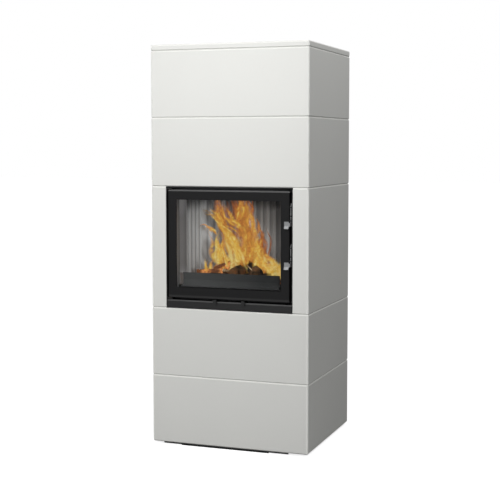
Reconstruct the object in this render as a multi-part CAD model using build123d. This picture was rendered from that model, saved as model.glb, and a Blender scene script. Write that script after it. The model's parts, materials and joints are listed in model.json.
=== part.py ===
from build123d import *
import os

os.makedirs("parts", exist_ok=True)

# A free-standing stove: stacked rings of cast concrete around a steel firebox with a glazed door.
# Origin on the floor under the middle of the stove, X to the right, Y to the rear, Z up.

# Casing
case_w = 620.0
case_d = 550.0
plinth_h = 10.0
bottom_ring_h = 258.0
lower_ring_h = 258.0
door_ring_h = 458.0
upper_ring_h = 256.0
top_ring_h = 248.0
top_plate_t = 22.0
ring_wall = 50.0
corner_r = 8.0
edge_bevel = 3.5
jamb_w = 60.0
dowel_r = 5.0
dowel_l = 24.0
dowel_gap = 0.1
dowel_inset = 25.0

# Plinth
plinth_plate_t = 6.0
plinth_inset = 48.0
plinth_set_back = 38.0
foot_r = 30.0
foot_stud_r = 5.0
foot_stud_l = 26.0
foot_stud_gap = 0.2
foot_inset = 50.0
kick_t = 3.0
kick_set_back = 11.0
kick_left = 43.0
kick_right = 78.0
kick_end_lift = 3.0
kick_pad_left = 115.0
kick_pad_right = 155.0
kick_tab_w = 30.0
kick_tab_count = 3

# Openings in the top and the rear
grille_w = 300.0
grille_d = 44.0
grille_rear_margin = 80.0
grille_t = 8.0
grille_rim = 5.0
grille_bars = 14
grille_bar_w = 4.0
grille_gap = 0.5
blank_r = 99.0
blank_t = 6.0
blank_lap = 9.0
rear_grille_w = 220.0
rear_grille_h = 110.0
rear_grille_gap = 44.0
rear_grille_z = 138.0
rear_grille_slots = 5
rear_slot_h = 11.0
rear_grille_lap = 12.0
rear_sheet_t = 2.0
intake_r = 50.0
intake_wall = 1.5
intake_leg_gap = 10.0
intake_z = 138.0
intake_bend_r = 85.0
intake_rail_gap = 12.0
intake_hole_gap = 6.0

# Insert, seen through the opening of the door ring
surround_gap = 1.5
surround_t = 2.0
recess_depth = 40.0
front_plate_t = 4.0
fire_sill_h = 10.0
lintel_h = 34.5
strip_h = 28.0
strip_t = 3.0
strip_bevel = 5.0
strip_inner_ease = 1.0
strip_gap = 0.5

# Door
door_gap_left = 5.5
door_gap_right = 9.5
door_gap_top = 8.5
door_slot = 9.0
door_set_back = 1.0
door_t = 32.0
door_bevel = 1.2
door_top_bevel = 6.0
bar_left = 33.0
bar_right = 33.0
bar_top = 37.0
bar_bottom = 39.0
lip_t = 3.5
glass_t = 4.0
glass_lap = 7.0
glass_gap = 1.0
tape_t = 2.0
tape_w = 6.0
retainer_t = 2.0
retainer_flange = 9.0
retainer_end_gap = 1.0
retainer_screw_r = 2.0
retainer_side_inset = 50.0
retainer_end_inset = 85.0
retainer_screw_l = 8.0
retainer_head_r = 3.6
retainer_head_h = 2.0
rope_w = 9.6
rope_side = 0.2
rope_groove = 5.0
rope_inset = 5.6
rope_seat_gap = 0.3
rope_round = 2.5

# Door hinge, two pins in one vertical line
hinge_inset = 5.5
hinge_pin_r = 3.0
hinge_fit = 0.05
hinge_pin_depth = 22.0
bracket_t = 4.0
bracket_w = 20.0
bracket_d = 24.0
washer_r = 5.0
washer_t = 1.6
washer_gap = 0.4

# Latches, two levers on upright rods beside the free edge of the door
latch_rise = [269.0, 121.0]
latch_names = ["upper", "lower"]
latch_rod_r = 2.0
latch_rod_offset = 4.3
latch_rod_back = 4.5
latch_fit = 0.05
latch_rod_above = 80.0
latch_crank_h = 12.0
latch_crank_x = 2.2
lug_t = 4.0
lug_half = 3.6
lug_w = 7.7
lug_low = 27.0
tab_w = 17.0
tab_h = 26.0
tab_t = 1.7
tab_flare_h = 10.0
tab_flare_y = 4.5
tab_stand_off = 12.0
tab_offset = 4.8
arm_t = 2.5
arm_z0 = 9.0
arm_h = 13.0
hook_z = 44.0
hook_t = 4.0
hook_hub_r = 3.6
hook_arm_w = 3.0
hook_reach = 17.0
hook_nose = 4.5
hook_nose_t = 4.0
hook_turn = 12.0
hook_slot_gap = 1.5
slot_skin = 2.0
slot_web = 2.5
keeper_in = 2.9
keeper_t = 4.3
keeper_back = 8.0
keeper_h = 24.0

# Air levers, each sliding sideways above the lower strip
lever_x = [-52.0, 59.0]
lever_names = ["primary", "secondary"]
lever_travel = 22.0
lever_w = 12.0
lever_t = 4.0
lever_lift = 2.5
handle_w = 14.0
handle_drop = 17.0
handle_t = 3.0
handle_gap = 3.5
lever_slot_gap = 1.0
damper_w = 62.0
damper_h = 34.0
damper_t = 3.0
damper_gap = 1.5
divider_t = 2.0
port_w = 40.0
port_h = 16.0

# Firebox
shell_side_gap = 15.0
shell_t = 4.0
shell_d = 248.0
smoke_box_h = 26.0
throat_gap = 4.0
ash_space_h = 58.5
hearth_t = 20.0
support_t = 4.0
brick_gap = 1.0
cheek_t = 6.0
cheek_d = 71.0
side_liner_t = 26.0
side_liner_lean = 25.0
rear_liner_t = 30.0
liner_gap = 0.5
flute_pitch = 27.0
flute_r = 10.0
flute_depth = 5.0
side_flutes = 4
rear_flutes = 13
grate_w = 200.0
grate_d = 130.0
grate_t = 10.0
grate_from_rear = 83.0
grate_bars = 9
grate_slot_w = 9.0
grate_ledge = 6.0
pan_h = 34.0
pan_t = 2.0
pan_gap = 8.0
guard_side_gap = 23.0
guard_t = 3.0
guard_lift = 8.0
guard_lower_h = 26.0
guard_upper_h = 26.0
guard_glass_gap = 6.5
guard_run = 11.0
guard_bend_ease = 1.0
guard_top_lean = 2.0
guard_arm_w = 12.0
guard_arm_h = 8.0
guard_arm_drop = 4.0
baffle_t = 25.0
baffle_lift = 8.0
baffle_front_gap = 80.0
upper_baffle_t = 6.0
baffle_space = 21.0
upper_baffle_rear_gap = 60.0

# Flue, leaving through the rear of the upper ring
flue_r = 75.0
flue_wall = 2.0
flue_from_rear = 79.0
flue_bend_r = 95.0
flue_stub = 13.0
flue_hole_r = 86.0
flue_stands_out = 12.0
rosette_r = 108.0
rosette_t = 2.0
rosette_gap = 1.0

# Stand, heat shield and heat store
leg_size = 40.0
leg_wall = 3.0
stand_side_inset = 65.0
stand_front_gap = 5.0
stand_rear_inset = 32.0
rail_h = 30.0
shield_gap = 30.0
shield_t = 1.5
shield_side_inset = 10.0
shield_low_inset = 17.5
shield_top_inset = 14.0
spacer_r = 6.0
spacer_inset = 40.0
shelf_t = 4.0
shelf_flange = 36.0
shelf_front_gap = 65.0
shelf_d = 220.0
block_w = 118.0
block_d = 95.0
block_h = 170.0
block_gap = 6.0
block_columns = 3
block_rows = 2

# Levels and faces that follow from the sizes above
front_y = -case_d / 2
rear_y = case_d / 2
inner_x = case_w / 2 - ring_wall
inner_y = case_d / 2 - ring_wall
opening_x = case_w / 2 - jamb_w
lower_ring_z = plinth_h + bottom_ring_h
door_ring_z = lower_ring_z + lower_ring_h
upper_ring_z = door_ring_z + door_ring_h
top_ring_z = upper_ring_z + upper_ring_h
top_plate_z = top_ring_z + top_ring_h
stove_h = top_plate_z + top_plate_t
surround_x = opening_x - surround_gap
surround_in_x = surround_x - surround_t
surround_z0 = door_ring_z + surround_gap
surround_z1 = upper_ring_z - surround_gap
surround_in_z0 = surround_z0 + surround_t
surround_in_z1 = surround_z1 - surround_t
plate_y = front_y + recess_depth
plate_back_y = plate_y + front_plate_t
strip_z0 = surround_in_z0 + strip_gap
strip_top = strip_z0 + strip_h
door_x0 = -surround_in_x + door_gap_left
door_x1 = surround_in_x - door_gap_right
door_z0 = strip_top + door_slot
door_z1 = surround_in_z1 - door_gap_top
door_y0 = front_y + door_set_back
door_y1 = door_y0 + door_t
view_x0 = door_x0 + bar_left
view_x1 = door_x1 - bar_right
view_z0 = door_z0 + bar_bottom
view_z1 = door_z1 - bar_top
glass_y0 = door_y0 + lip_t + tape_t
glass_y1 = glass_y0 + glass_t
hinge_x = door_x0 + hinge_inset
hinge_y = door_y0 + hinge_inset
rod_x = door_x1 + latch_rod_offset
rod_y = door_y0 + latch_rod_back
latch_tab_z = [door_z0 + rise for rise in latch_rise]
lever_z = strip_top + lever_lift
divider_y = plate_back_y + 2 * damper_gap + damper_t

# Firebox, from the shell inwards
shell_half_w = inner_x - shell_side_gap
shell_in_x = shell_half_w - shell_t
shell_rear_y = plate_back_y + shell_d
shell_in_y = shell_rear_y - shell_t
shell_z0 = surround_z0
shell_in_z0 = shell_z0 + shell_t
throat_y = -inner_y + throat_gap
hearth_z = shell_in_z0 + ash_space_h
liner_z0 = hearth_z + hearth_t
fire_half_w = shell_in_x - side_liner_t
fire_z0 = hearth_z + fire_sill_h
fire_z1 = surround_z1 - lintel_h
cheek_rear_y = plate_back_y + cheek_d
rear_half_w = fire_half_w - side_liner_lean
rear_liner_y = shell_in_y - rear_liner_t
baffle_z = fire_z1 + baffle_lift
upper_baffle_z = baffle_z + baffle_t + baffle_space
shell_top_z = upper_baffle_z + upper_baffle_t + smoke_box_h
grate_x0 = -grate_w / 2
grate_y = rear_liner_y - grate_from_rear
guard_half_w = fire_half_w - guard_side_gap
guard_y0 = glass_y1 + guard_glass_gap
guard_y1 = guard_y0 + guard_run
guard_z0 = fire_z0 + guard_lift
guard_bend_z = guard_z0 + guard_lower_h
guard_z1 = guard_bend_z + guard_upper_h

# What stands under, behind and above the firebox
flue_y = shell_rear_y - flue_from_rear
flue_z = shell_top_z + flue_stub + flue_bend_r
shield_y = shell_rear_y + shield_gap
shield_half_w = shell_half_w - shield_side_inset
shield_z0 = shell_z0 + shield_low_inset
shield_z1 = shell_top_z - shield_top_inset
stand_half_w = shell_half_w - stand_side_inset
stand_y0 = -inner_y + leg_size / 2 + stand_front_gap
stand_y1 = shell_rear_y - stand_rear_inset
intake_x = stand_half_w - leg_size / 2 - intake_leg_gap - intake_r
intake_y = stand_y1 - leg_wall - intake_rail_gap - intake_r
rear_grille_x = intake_x - intake_r - intake_hole_gap - rear_grille_gap - rear_grille_w / 2
shelf_y0 = -inner_y + shelf_front_gap
shelf_y1 = shelf_y0 + shelf_d


def box(x0, x1, y0, y1, z0, z1):
    return Pos((x0 + x1) / 2, (y0 + y1) / 2, (z0 + z1) / 2) * Box(x1 - x0, y1 - y0, z1 - z0)


def post(x, y, z0, z1, r):
    return Pos(x, y, (z0 + z1) / 2) * Cylinder(r, z1 - z0)


def bar_y(x, z, y0, y1, r):
    return Pos(x, (y0 + y1) / 2, z) * Rot(90, 0, 0) * Cylinder(r, y1 - y0)


def frame_y(x0, x1, z0, z1, y0, y1, left, right, bottom, top):
    outer = box(x0, x1, y0, y1, z0, z1)
    return outer - box(x0 + left, x1 - right, y0, y1, z0 + bottom, z1 - top)


def prism_x(points, x0, x1):
    face = make_face(Plane.YZ * Polyline(*points, close=True))
    return Pos(x0, 0, 0) * extrude(face, x1 - x0, dir=(1, 0, 0))


def prism_z(points, z0, z1):
    face = make_face(Polyline(*points, close=True))
    return Pos(0, 0, z0) * extrude(face, z1 - z0, dir=(0, 0, 1))


def save(name, *shapes):
    solids = [s for shape in shapes for s in shape.solids()]
    body = solids[0] if len(solids) == 1 else Compound(solids)
    export_step(body, f"parts/{name}.step")


# Concrete rings: rounded upright corners, small bevels that show as light lines at each joint
dowel_places = [
    (sx * (case_w / 2 - dowel_inset), sy * (case_d / 2 - dowel_inset)) for sx in (-1, 1) for sy in (-1, 1)
]


def dowel_holes(z0, z1):
    holes = [post(x, y, z0, z1, dowel_r + dowel_gap) for x, y in dowel_places]
    return Part() + holes


def slab(z0, height):
    block = extrude(Pos(0, 0, z0) * RectangleRounded(case_w, case_d, corner_r), height)
    faces = block.faces().sort_by(Axis.Z)
    return chamfer(faces[0].edges() + faces[-1].edges(), edge_bevel)


def ring(z0, height, seated=True):
    body = slab(z0, height) - box(-inner_x, inner_x, -inner_y, inner_y, z0, z0 + height)
    half = dowel_l / 2 + dowel_gap
    body -= dowel_holes(z0 + height - half, z0 + height)
    if seated:
        body -= dowel_holes(z0, z0 + half)
    return body


hole_x0 = rear_grille_x - rear_grille_w / 2
hole_x1 = rear_grille_x + rear_grille_w / 2
hole_z0 = rear_grille_z - rear_grille_h / 2
hole_z1 = rear_grille_z + rear_grille_h / 2
bottom_ring = ring(plinth_h, bottom_ring_h, seated=False)
bottom_ring -= box(hole_x0, hole_x1, inner_y, rear_y, hole_z0, hole_z1)
bottom_ring -= bar_y(intake_x, intake_z, inner_y, rear_y, intake_r + intake_hole_gap)
save("ring_bottom", bottom_ring)
save("ring_lower", ring(lower_ring_z, lower_ring_h))

door_ring = ring(door_ring_z, door_ring_h)
door_ring -= box(-opening_x, opening_x, front_y, -inner_y, door_ring_z, upper_ring_z)
save("ring_door", door_ring)

upper_ring = ring(upper_ring_z, upper_ring_h) - bar_y(0, flue_z, inner_y, rear_y, flue_hole_r)
save("ring_upper", upper_ring)
save("ring_top", ring(top_ring_z, top_ring_h))

grille_y1 = rear_y - grille_rear_margin
grille_y0 = grille_y1 - grille_d
plate_dowel_top = top_plate_z + dowel_l / 2 + dowel_gap
top_plate = slab(top_plate_z, top_plate_t) - dowel_holes(top_plate_z, plate_dowel_top)
top_plate -= box(
    -grille_w / 2 + grille_rim, grille_w / 2 - grille_rim, grille_y0 + grille_rim, grille_y1 - grille_rim,
    top_plate_z, stove_h,
)
top_plate -= box(-grille_w / 2, grille_w / 2, grille_y0, grille_y1, stove_h - grille_t, stove_h)
top_plate -= post(0, flue_y, top_plate_z, stove_h, blank_r - blank_lap)
top_plate -= post(0, flue_y, stove_h - blank_t, stove_h, blank_r + grille_gap)
save("top_plate", top_plate)
save("top_outlet_cover", post(0, flue_y, stove_h - blank_t, stove_h, blank_r))

joint_levels = [lower_ring_z, door_ring_z, upper_ring_z, top_ring_z, top_plate_z]
dowels = [
    post(x, y, z - dowel_l / 2, z + dowel_l / 2, dowel_r) for z in joint_levels for x, y in dowel_places
]
save("ring_dowels", *dowels)

grille = frame_y(
    -grille_w / 2 + grille_gap, grille_w / 2 - grille_gap, 0, grille_d - 2 * grille_gap,
    0, grille_t, grille_rim, grille_rim, grille_rim, grille_rim,
)
grille_pitch = (grille_w - 2 * grille_rim) / grille_bars
for i in range(1, grille_bars):
    bar_x = -grille_w / 2 + grille_rim + i * grille_pitch
    grille += box(bar_x - grille_bar_w / 2, bar_x + grille_bar_w / 2, 0, grille_t,
                  grille_rim / 2, grille_d - grille_rim)
grille = Pos(0, grille_y1 - grille_gap, stove_h - grille_t) * Rot(90, 0, 0) * grille
save("convection_grille", grille)

# Plinth: a plate on four levelling feet, and a kick strip that shows under the front
plinth_x = case_w / 2 - plinth_inset
plinth_z0 = plinth_h - plinth_plate_t
plinth_y = rear_y - plinth_set_back
foot_places = [
    (sx * (plinth_x - foot_inset), sy * (plinth_y - foot_inset)) for sx in (-1, 1) for sy in (-1, 1)
]
plinth = box(-plinth_x, plinth_x, -plinth_y, plinth_y, plinth_z0, plinth_h)
plinth -= [post(x, y, plinth_z0, plinth_h, foot_stud_r + foot_stud_gap) for x, y in foot_places]
save("plinth_plate", plinth)
feet = [post(x, y, 0, plinth_z0, foot_r) + post(x, y, 0, foot_stud_l, foot_stud_r) for x, y in foot_places]
save("levelling_feet", *feet)

kick_y = front_y + kick_set_back
kick_x0 = -case_w / 2 + kick_left
kick_x1 = case_w / 2 - kick_right
kick = box(kick_x0, kick_x1, kick_y, kick_y + kick_t, kick_end_lift, plinth_h)
kick += box(kick_x0 + kick_pad_left - kick_left, kick_x1 - kick_pad_right + kick_right,
            kick_y, kick_y + kick_t, 0, plinth_h)
for i in range(kick_tab_count):
    tab_x0 = kick_x0 + (i + 0.5) * (kick_x1 - kick_x0) / kick_tab_count - kick_tab_w / 2
    kick += box(tab_x0, tab_x0 + kick_tab_w, kick_y, -plinth_y, plinth_h - kick_t, plinth_h)
save("kick_strip", kick)

# Rear air grille, a slotted sheet over the opening in the bottom ring
rear_grille = box(hole_x0 - rear_grille_lap, hole_x1 + rear_grille_lap, rear_y, rear_y + rear_sheet_t,
                  hole_z0 - rear_grille_lap, hole_z1 + rear_grille_lap)
slot_pitch = rear_grille_h / rear_grille_slots
for i in range(rear_grille_slots):
    slot_z = hole_z0 + (i + 0.5) * slot_pitch
    rear_grille -= box(hole_x0 + rear_grille_lap, hole_x1 - rear_grille_lap, rear_y, rear_y + rear_sheet_t,
                       slot_z - rear_slot_h / 2, slot_z + rear_slot_h / 2)
save("rear_air_grille", rear_grille)


# Round ducts: a straight run from the rear, a quarter bend and an upright stub
def elbow(x, y, z, bend_r, r, y_end, z_end):
    side = -1 if z_end < z else 1
    centre_z = z + side * bend_r
    disc = Plane((x, y + bend_r, z), x_dir=(1, 0, 0), z_dir=(0, 1, 0)) * Circle(r)
    bend = revolve(disc, Axis((x, y + bend_r, centre_z), (1, 0, 0)), -90 * side)
    stub = post(x, y, min(centre_z, z_end), max(centre_z, z_end), r)
    return bar_y(x, z, y + bend_r, y_end, r) + bend + stub


intake_end_y = rear_y + rear_sheet_t
intake = elbow(intake_x, intake_y, intake_z, intake_bend_r, intake_r, intake_end_y, shell_z0)
intake -= elbow(intake_x, intake_y, intake_z, intake_bend_r, intake_r - intake_wall, intake_end_y, shell_z0)
save("air_intake_duct", intake)

flue_end_y = rear_y + flue_stands_out
flue = elbow(0, flue_y, flue_z, flue_bend_r, flue_r, flue_end_y, shell_top_z)
flue -= elbow(0, flue_y, flue_z, flue_bend_r, flue_r - flue_wall, flue_end_y, shell_top_z)
save("flue_elbow", flue)
rosette = bar_y(0, flue_z, rear_y, rear_y + rosette_t, rosette_r)
save("flue_rosette", rosette - bar_y(0, flue_z, rear_y, rear_y + rosette_t, flue_r + rosette_gap))

# Insert: a thin steel surround, the front plate that the door seals on, and the lower strip
surround = frame_y(-surround_x, surround_x, surround_z0, surround_z1, front_y, plate_y,
                   surround_t, surround_t, surround_t, surround_t)
save("insert_surround", surround)

front_plate = box(-surround_x, surround_x, plate_y, plate_back_y, surround_z0, surround_z1)
front_plate -= box(-fire_half_w, fire_half_w, plate_y, plate_back_y, fire_z0, fire_z1)
slot_half = lever_w / 2 + lever_travel + lever_slot_gap
for x in lever_x:
    front_plate -= box(x - slot_half, x + slot_half, plate_y, plate_back_y,
                       lever_z - lever_slot_gap, lever_z + lever_t + lever_slot_gap)
save("front_plate", front_plate)

strip_x = surround_in_x - strip_gap
strip_profile = [
    (front_y, strip_z0), (front_y, strip_top - strip_bevel), (front_y + strip_bevel, strip_top),
    (plate_y, strip_top), (plate_y, strip_top - strip_t), (front_y + strip_bevel, strip_top - strip_t),
    (front_y + strip_t, strip_top - strip_bevel - strip_inner_ease),
    (front_y + strip_t, strip_z0),
]
save("lower_strip", prism_x(strip_profile, -strip_x, strip_x))

# Firebox shell: open at the front, stepped back under the upper ring, with holes for the flue and the intake
shell = box(-shell_half_w, shell_half_w, plate_back_y, shell_rear_y, shell_z0, surround_z1)
shell += box(-shell_half_w, shell_half_w, throat_y, shell_rear_y, surround_z1, shell_top_z)
shell -= box(-shell_in_x, shell_in_x, plate_back_y, shell_in_y, shell_in_z0, surround_z1 - shell_t)
shell -= box(-shell_in_x, shell_in_x, throat_y + shell_t, shell_in_y,
             surround_z1 - shell_t, shell_top_z - shell_t)
shell -= post(0, flue_y, shell_top_z - shell_t, shell_top_z, flue_r - flue_wall)
shell -= post(intake_x, intake_y, shell_z0, shell_in_z0, intake_r - intake_wall)
save("firebox_shell", shell)

support = box(-shell_in_x, shell_in_x, plate_back_y, shell_in_y, hearth_z - support_t, hearth_z)
grate_y0 = grate_y - grate_d / 2
grate_y1 = grate_y + grate_d / 2
support -= box(grate_x0 + grate_ledge, -grate_x0 - grate_ledge,
               grate_y0 + grate_ledge, grate_y1 - grate_ledge, hearth_z - support_t, hearth_z)
save("hearth_support", support)

divider = box(-shell_in_x, shell_in_x, divider_y, divider_y + divider_t, shell_in_z0, hearth_z - support_t)
port_z = (shell_in_z0 + hearth_z - support_t) / 2
for x in lever_x:
    divider -= box(x - port_w / 2, x + port_w / 2, divider_y, divider_y + divider_t,
                   port_z - port_h / 2, port_z + port_h / 2)
save("air_divider", divider)

# Linings: plain cheeks beside the door, then fluted light bricks that lean in towards the rear
liner_top = baffle_z - liner_gap
cheek = box(-fire_half_w - cheek_t, -fire_half_w, plate_back_y, cheek_rear_y, liner_z0, liner_top)
save("left_cheek", cheek)
save("right_cheek", mirror(cheek, about=Plane.YZ))

side_run = Vector(fire_half_w - rear_half_w, rear_liner_y - cheek_rear_y)
side_dir = side_run.normalized()
side_in = Vector(side_dir.Y, -side_dir.X)
left_liner = prism_z(
    [
        (-fire_half_w, cheek_rear_y), (-rear_half_w, rear_liner_y - liner_gap),
        (-shell_in_x + liner_gap, rear_liner_y - liner_gap), (-shell_in_x + liner_gap, cheek_rear_y),
    ],
    liner_z0, liner_top,
)
for i in range(side_flutes):
    along = (i + 0.5) * flute_pitch
    axis = Vector(-fire_half_w, cheek_rear_y) + side_dir * along + side_in * (flute_r - flute_depth)
    left_liner -= post(axis.X, axis.Y, liner_z0, liner_top, flute_r)
save("left_liner", left_liner)
save("right_liner", mirror(left_liner, about=Plane.YZ))

rear_liner = box(-shell_in_x + liner_gap, shell_in_x - liner_gap, rear_liner_y, shell_in_y - liner_gap,
                 liner_z0, liner_top)
for i in range(rear_flutes):
    flute_x = (i - (rear_flutes - 1) / 2) * flute_pitch
    rear_liner -= post(flute_x, rear_liner_y - flute_r + flute_depth, liner_z0, liner_top, flute_r)
save("rear_liner", rear_liner)

# Hearth bricks around the grate, with the ash pan hanging below it
hearth_x = shell_in_x - brick_gap
hearth_y0 = plate_back_y + brick_gap
hearth_y1 = shell_in_y - brick_gap
pocket_x = grate_w / 2 + brick_gap
bricks = [
    box(-hearth_x, -pocket_x, hearth_y0, hearth_y1, hearth_z, liner_z0),
    box(pocket_x, hearth_x, hearth_y0, hearth_y1, hearth_z, liner_z0),
    box(-pocket_x + brick_gap, pocket_x - brick_gap, hearth_y0, grate_y0 - brick_gap, hearth_z, liner_z0),
    box(-pocket_x + brick_gap, pocket_x - brick_gap, grate_y1 + brick_gap, hearth_y1, hearth_z, liner_z0),
]
save("hearth_bricks", *bricks)

grate = box(grate_x0, -grate_x0, grate_y0, grate_y1, hearth_z, hearth_z + grate_t)
grate_pitch = (grate_w - 2 * grate_ledge) / grate_bars
for i in range(grate_bars):
    slot_x = grate_x0 + grate_ledge + (i + 0.5) * grate_pitch
    grate -= box(slot_x - grate_slot_w / 2, slot_x + grate_slot_w / 2, grate_y0 + 2 * grate_ledge,
                 grate_y1 - 2 * grate_ledge, hearth_z, hearth_z + grate_t)
save("grate", grate)

pan_z1 = hearth_z - support_t - brick_gap
pan_z0 = pan_z1 - pan_h
pan = box(grate_x0 + pan_gap, -grate_x0 - pan_gap, grate_y0 + pan_gap, grate_y1 - pan_gap, pan_z0, pan_z1)
pan -= box(grate_x0 + pan_gap + pan_t, -grate_x0 - pan_gap - pan_t, grate_y0 + pan_gap + pan_t,
           grate_y1 - pan_gap - pan_t, pan_z0 + pan_t, pan_z1)
for side in (-1, 1):
    runner_x = side * (grate_w / 2 - pan_gap - pan_t / 2)
    pan += box(runner_x - pan_t / 2, runner_x + pan_t / 2, grate_y0 + pan_gap, grate_y1 - pan_gap,
               shell_in_z0, pan_z0)
save("ash_pan", pan)

# Log guard: a bent plate just behind the glass, carried by a bracket at each end
guard = prism_x(
    [
        (guard_y0, guard_z0), (guard_y1, guard_bend_z), (guard_y1 - guard_top_lean, guard_z1),
        (guard_y1 - guard_top_lean + guard_t, guard_z1), (guard_y1 + guard_t, guard_bend_z - guard_bend_ease),
        (guard_y0 + guard_t, guard_z0),
    ],
    -guard_half_w, guard_half_w,
)
arm_z1 = guard_bend_z - guard_arm_drop
arm_y0 = plate_back_y + guard_t
for x0 in (-guard_half_w, guard_half_w - guard_arm_w):
    x1 = x0 + guard_arm_w
    guard += box(x0, x1, guard_y1, arm_y0 + guard_t, arm_z1 - guard_arm_h, arm_z1)
    guard += box(x0, x1, arm_y0, arm_y0 + guard_t, liner_z0, arm_z1)
save("log_guard", guard)

# Baffles above the fire: smoke passes in front of the first and behind the second
lower_baffle = box(-shell_in_x + liner_gap, shell_in_x - liner_gap, plate_back_y + baffle_front_gap,
                   shell_in_y - liner_gap, baffle_z, baffle_z + baffle_t)
save("lower_baffle", lower_baffle)
upper_baffle = box(-shell_in_x, shell_in_x, throat_y + shell_t, shell_in_y - upper_baffle_rear_gap,
                   upper_baffle_z, upper_baffle_z + upper_baffle_t)
save("upper_baffle", upper_baffle)

# Stand: four square legs and a top frame that carries the firebox
stand_top = shell_z0
stand = Part()
for x in (-stand_half_w, stand_half_w):
    for y in (stand_y0, stand_y1):
        leg = box(x - leg_size / 2, x + leg_size / 2, y - leg_size / 2, y + leg_size / 2, plinth_h, stand_top)
        bore = leg_size / 2 - leg_wall
        stand += leg - box(x - bore, x + bore, y - bore, y + bore, plinth_h, stand_top)
rail_z = stand_top - rail_h
for y in (stand_y0, stand_y1):
    stand += box(-stand_half_w + leg_size / 2, stand_half_w - leg_size / 2, y - leg_wall, y + leg_wall,
                 rail_z, stand_top)
for x in (-stand_half_w, stand_half_w):
    stand += box(x - leg_wall, x + leg_wall, stand_y0 + leg_size / 2, stand_y1 - leg_size / 2,
                 rail_z, stand_top)
save("firebox_stand", stand)

# Heat shield behind the firebox, and a heat store on a shelf above it
shield = box(-shield_half_w, shield_half_w, shield_y, shield_y + shield_t, shield_z0, shield_z1)
save("rear_heat_shield", shield)
spacers = [bar_y(sx * (shield_half_w - spacer_inset), z, shell_rear_y, shield_y, spacer_r)
           for sx in (-1, 1) for z in (shield_z0 + spacer_inset, shield_z1 - spacer_inset)]
save("shield_spacers", *spacers)

shelf = box(-inner_x, inner_x, shelf_y0, shelf_y1, top_ring_z, top_ring_z + shelf_t)
for side in (-1, 1):
    x0 = min(side * inner_x, side * (inner_x - shelf_t))
    shelf += box(x0, x0 + shelf_t, shelf_y0, shelf_y1, top_ring_z - shelf_flange, top_ring_z)
save("storage_shelf", shelf)
blocks = []
for i in range(block_columns):
    for j in range(block_rows):
        block_x = (i - (block_columns - 1) / 2) * (block_w + block_gap)
        block_y = (shelf_y0 + shelf_y1) / 2 + (j - (block_rows - 1) / 2) * (block_d + block_gap)
        blocks.append(box(block_x - block_w / 2, block_x + block_w / 2, block_y - block_d / 2,
                          block_y + block_d / 2, top_ring_z + shelf_t, top_ring_z + shelf_t + block_h))
save("heat_storage_blocks", *blocks)

# Hinge: brackets on the surround with pins that run up and down into the door
bracket_y1 = door_y0 + bracket_d
bracket_top_z = door_z1 + washer_t + 2 * washer_gap
bracket_low_z = door_z0 - washer_t - 2 * washer_gap - bracket_t
brackets = []
pins = []
washers = []
for z, pin_z0, pin_z1, washer_z in (
    (bracket_top_z, door_z1 - hinge_pin_depth, bracket_top_z + bracket_t, door_z1 + washer_gap),
    (bracket_low_z, bracket_low_z, door_z0 + hinge_pin_depth, door_z0 - washer_gap - washer_t),
):
    plate = box(-surround_in_x, -surround_in_x + bracket_w, door_y0, bracket_y1, z, z + bracket_t)
    brackets.append(plate - post(hinge_x, hinge_y, z, z + bracket_t, hinge_pin_r))
    pins.append(post(hinge_x, hinge_y, pin_z0, pin_z1, hinge_pin_r))
    ring_blank = post(hinge_x, hinge_y, washer_z, washer_z + washer_t, washer_r)
    washer_hole = post(hinge_x, hinge_y, washer_z, washer_z + washer_t, hinge_pin_r + hinge_fit)
    washers.append(ring_blank - washer_hole)
save("hinge_brackets", *brackets)
save("hinge_pins", *pins)
save("hinge_washers", *washers)

# Door frame: a steel ring with a glass pocket and a rope groove at the rear
pocket = glass_lap + glass_gap
door = box(door_x0, door_x1, door_y0, door_y1, door_z0, door_z1)
front_edges = door.faces().sort_by(Axis.Y)[0].edges()
top_edge = front_edges.sort_by(Axis.Z)[-1]
door = chamfer(top_edge, door_top_bevel)
side_edges = door.faces().sort_by(Axis.Y)[0].edges().sort_by(Axis.Z)[:-1]
door = chamfer(side_edges, door_bevel)
door -= box(view_x0, view_x1, door_y0, door_y1, view_z0, view_z1)
door -= box(view_x0 - pocket, view_x1 + pocket, door_y0 + lip_t, door_y1,
            view_z0 - pocket, view_z1 + pocket)
rope_x0 = door_x0 + rope_inset
rope_x1 = door_x1 - rope_inset
rope_z0 = door_z0 + rope_inset
rope_z1 = door_z1 - rope_inset
groove_w = rope_w + 2 * rope_side
door -= frame_y(rope_x0 - rope_side, rope_x1 + rope_side, rope_z0 - rope_side, rope_z1 + rope_side,
                door_y1 - rope_groove, door_y1, groove_w, groove_w, groove_w, groove_w)
for pin_z0, pin_z1 in ((door_z1 - hinge_pin_depth, door_z1), (door_z0, door_z0 + hinge_pin_depth)):
    door -= post(hinge_x, hinge_y, pin_z0, pin_z1, hinge_pin_r + hinge_fit)
hook_swing = hook_reach + hook_nose_t / 2
slot_y1 = door_y1 - rope_groove - slot_web
for z in latch_tab_z:
    slot_z0 = z + hook_z - hook_slot_gap
    door -= box(rod_x - hook_swing - hook_slot_gap, door_x1, door_y0 + slot_skin, slot_y1,
                slot_z0, slot_z0 + hook_t + 2 * hook_slot_gap)

# Glass, its tape, and angled retainers screwed to the rear of the frame
glass_x0 = view_x0 - glass_lap
glass_x1 = view_x1 + glass_lap
glass_z0 = view_z0 - glass_lap
glass_z1 = view_z1 + glass_lap
save("door_glass", box(glass_x0, glass_x1, glass_y0, glass_y1, glass_z0, glass_z1))
tape = frame_y(glass_x0, glass_x1, glass_z0, glass_z1, glass_y0 - tape_t, glass_y0,
               tape_w, tape_w, tape_w, tape_w)
save("glass_tape", tape)

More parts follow.
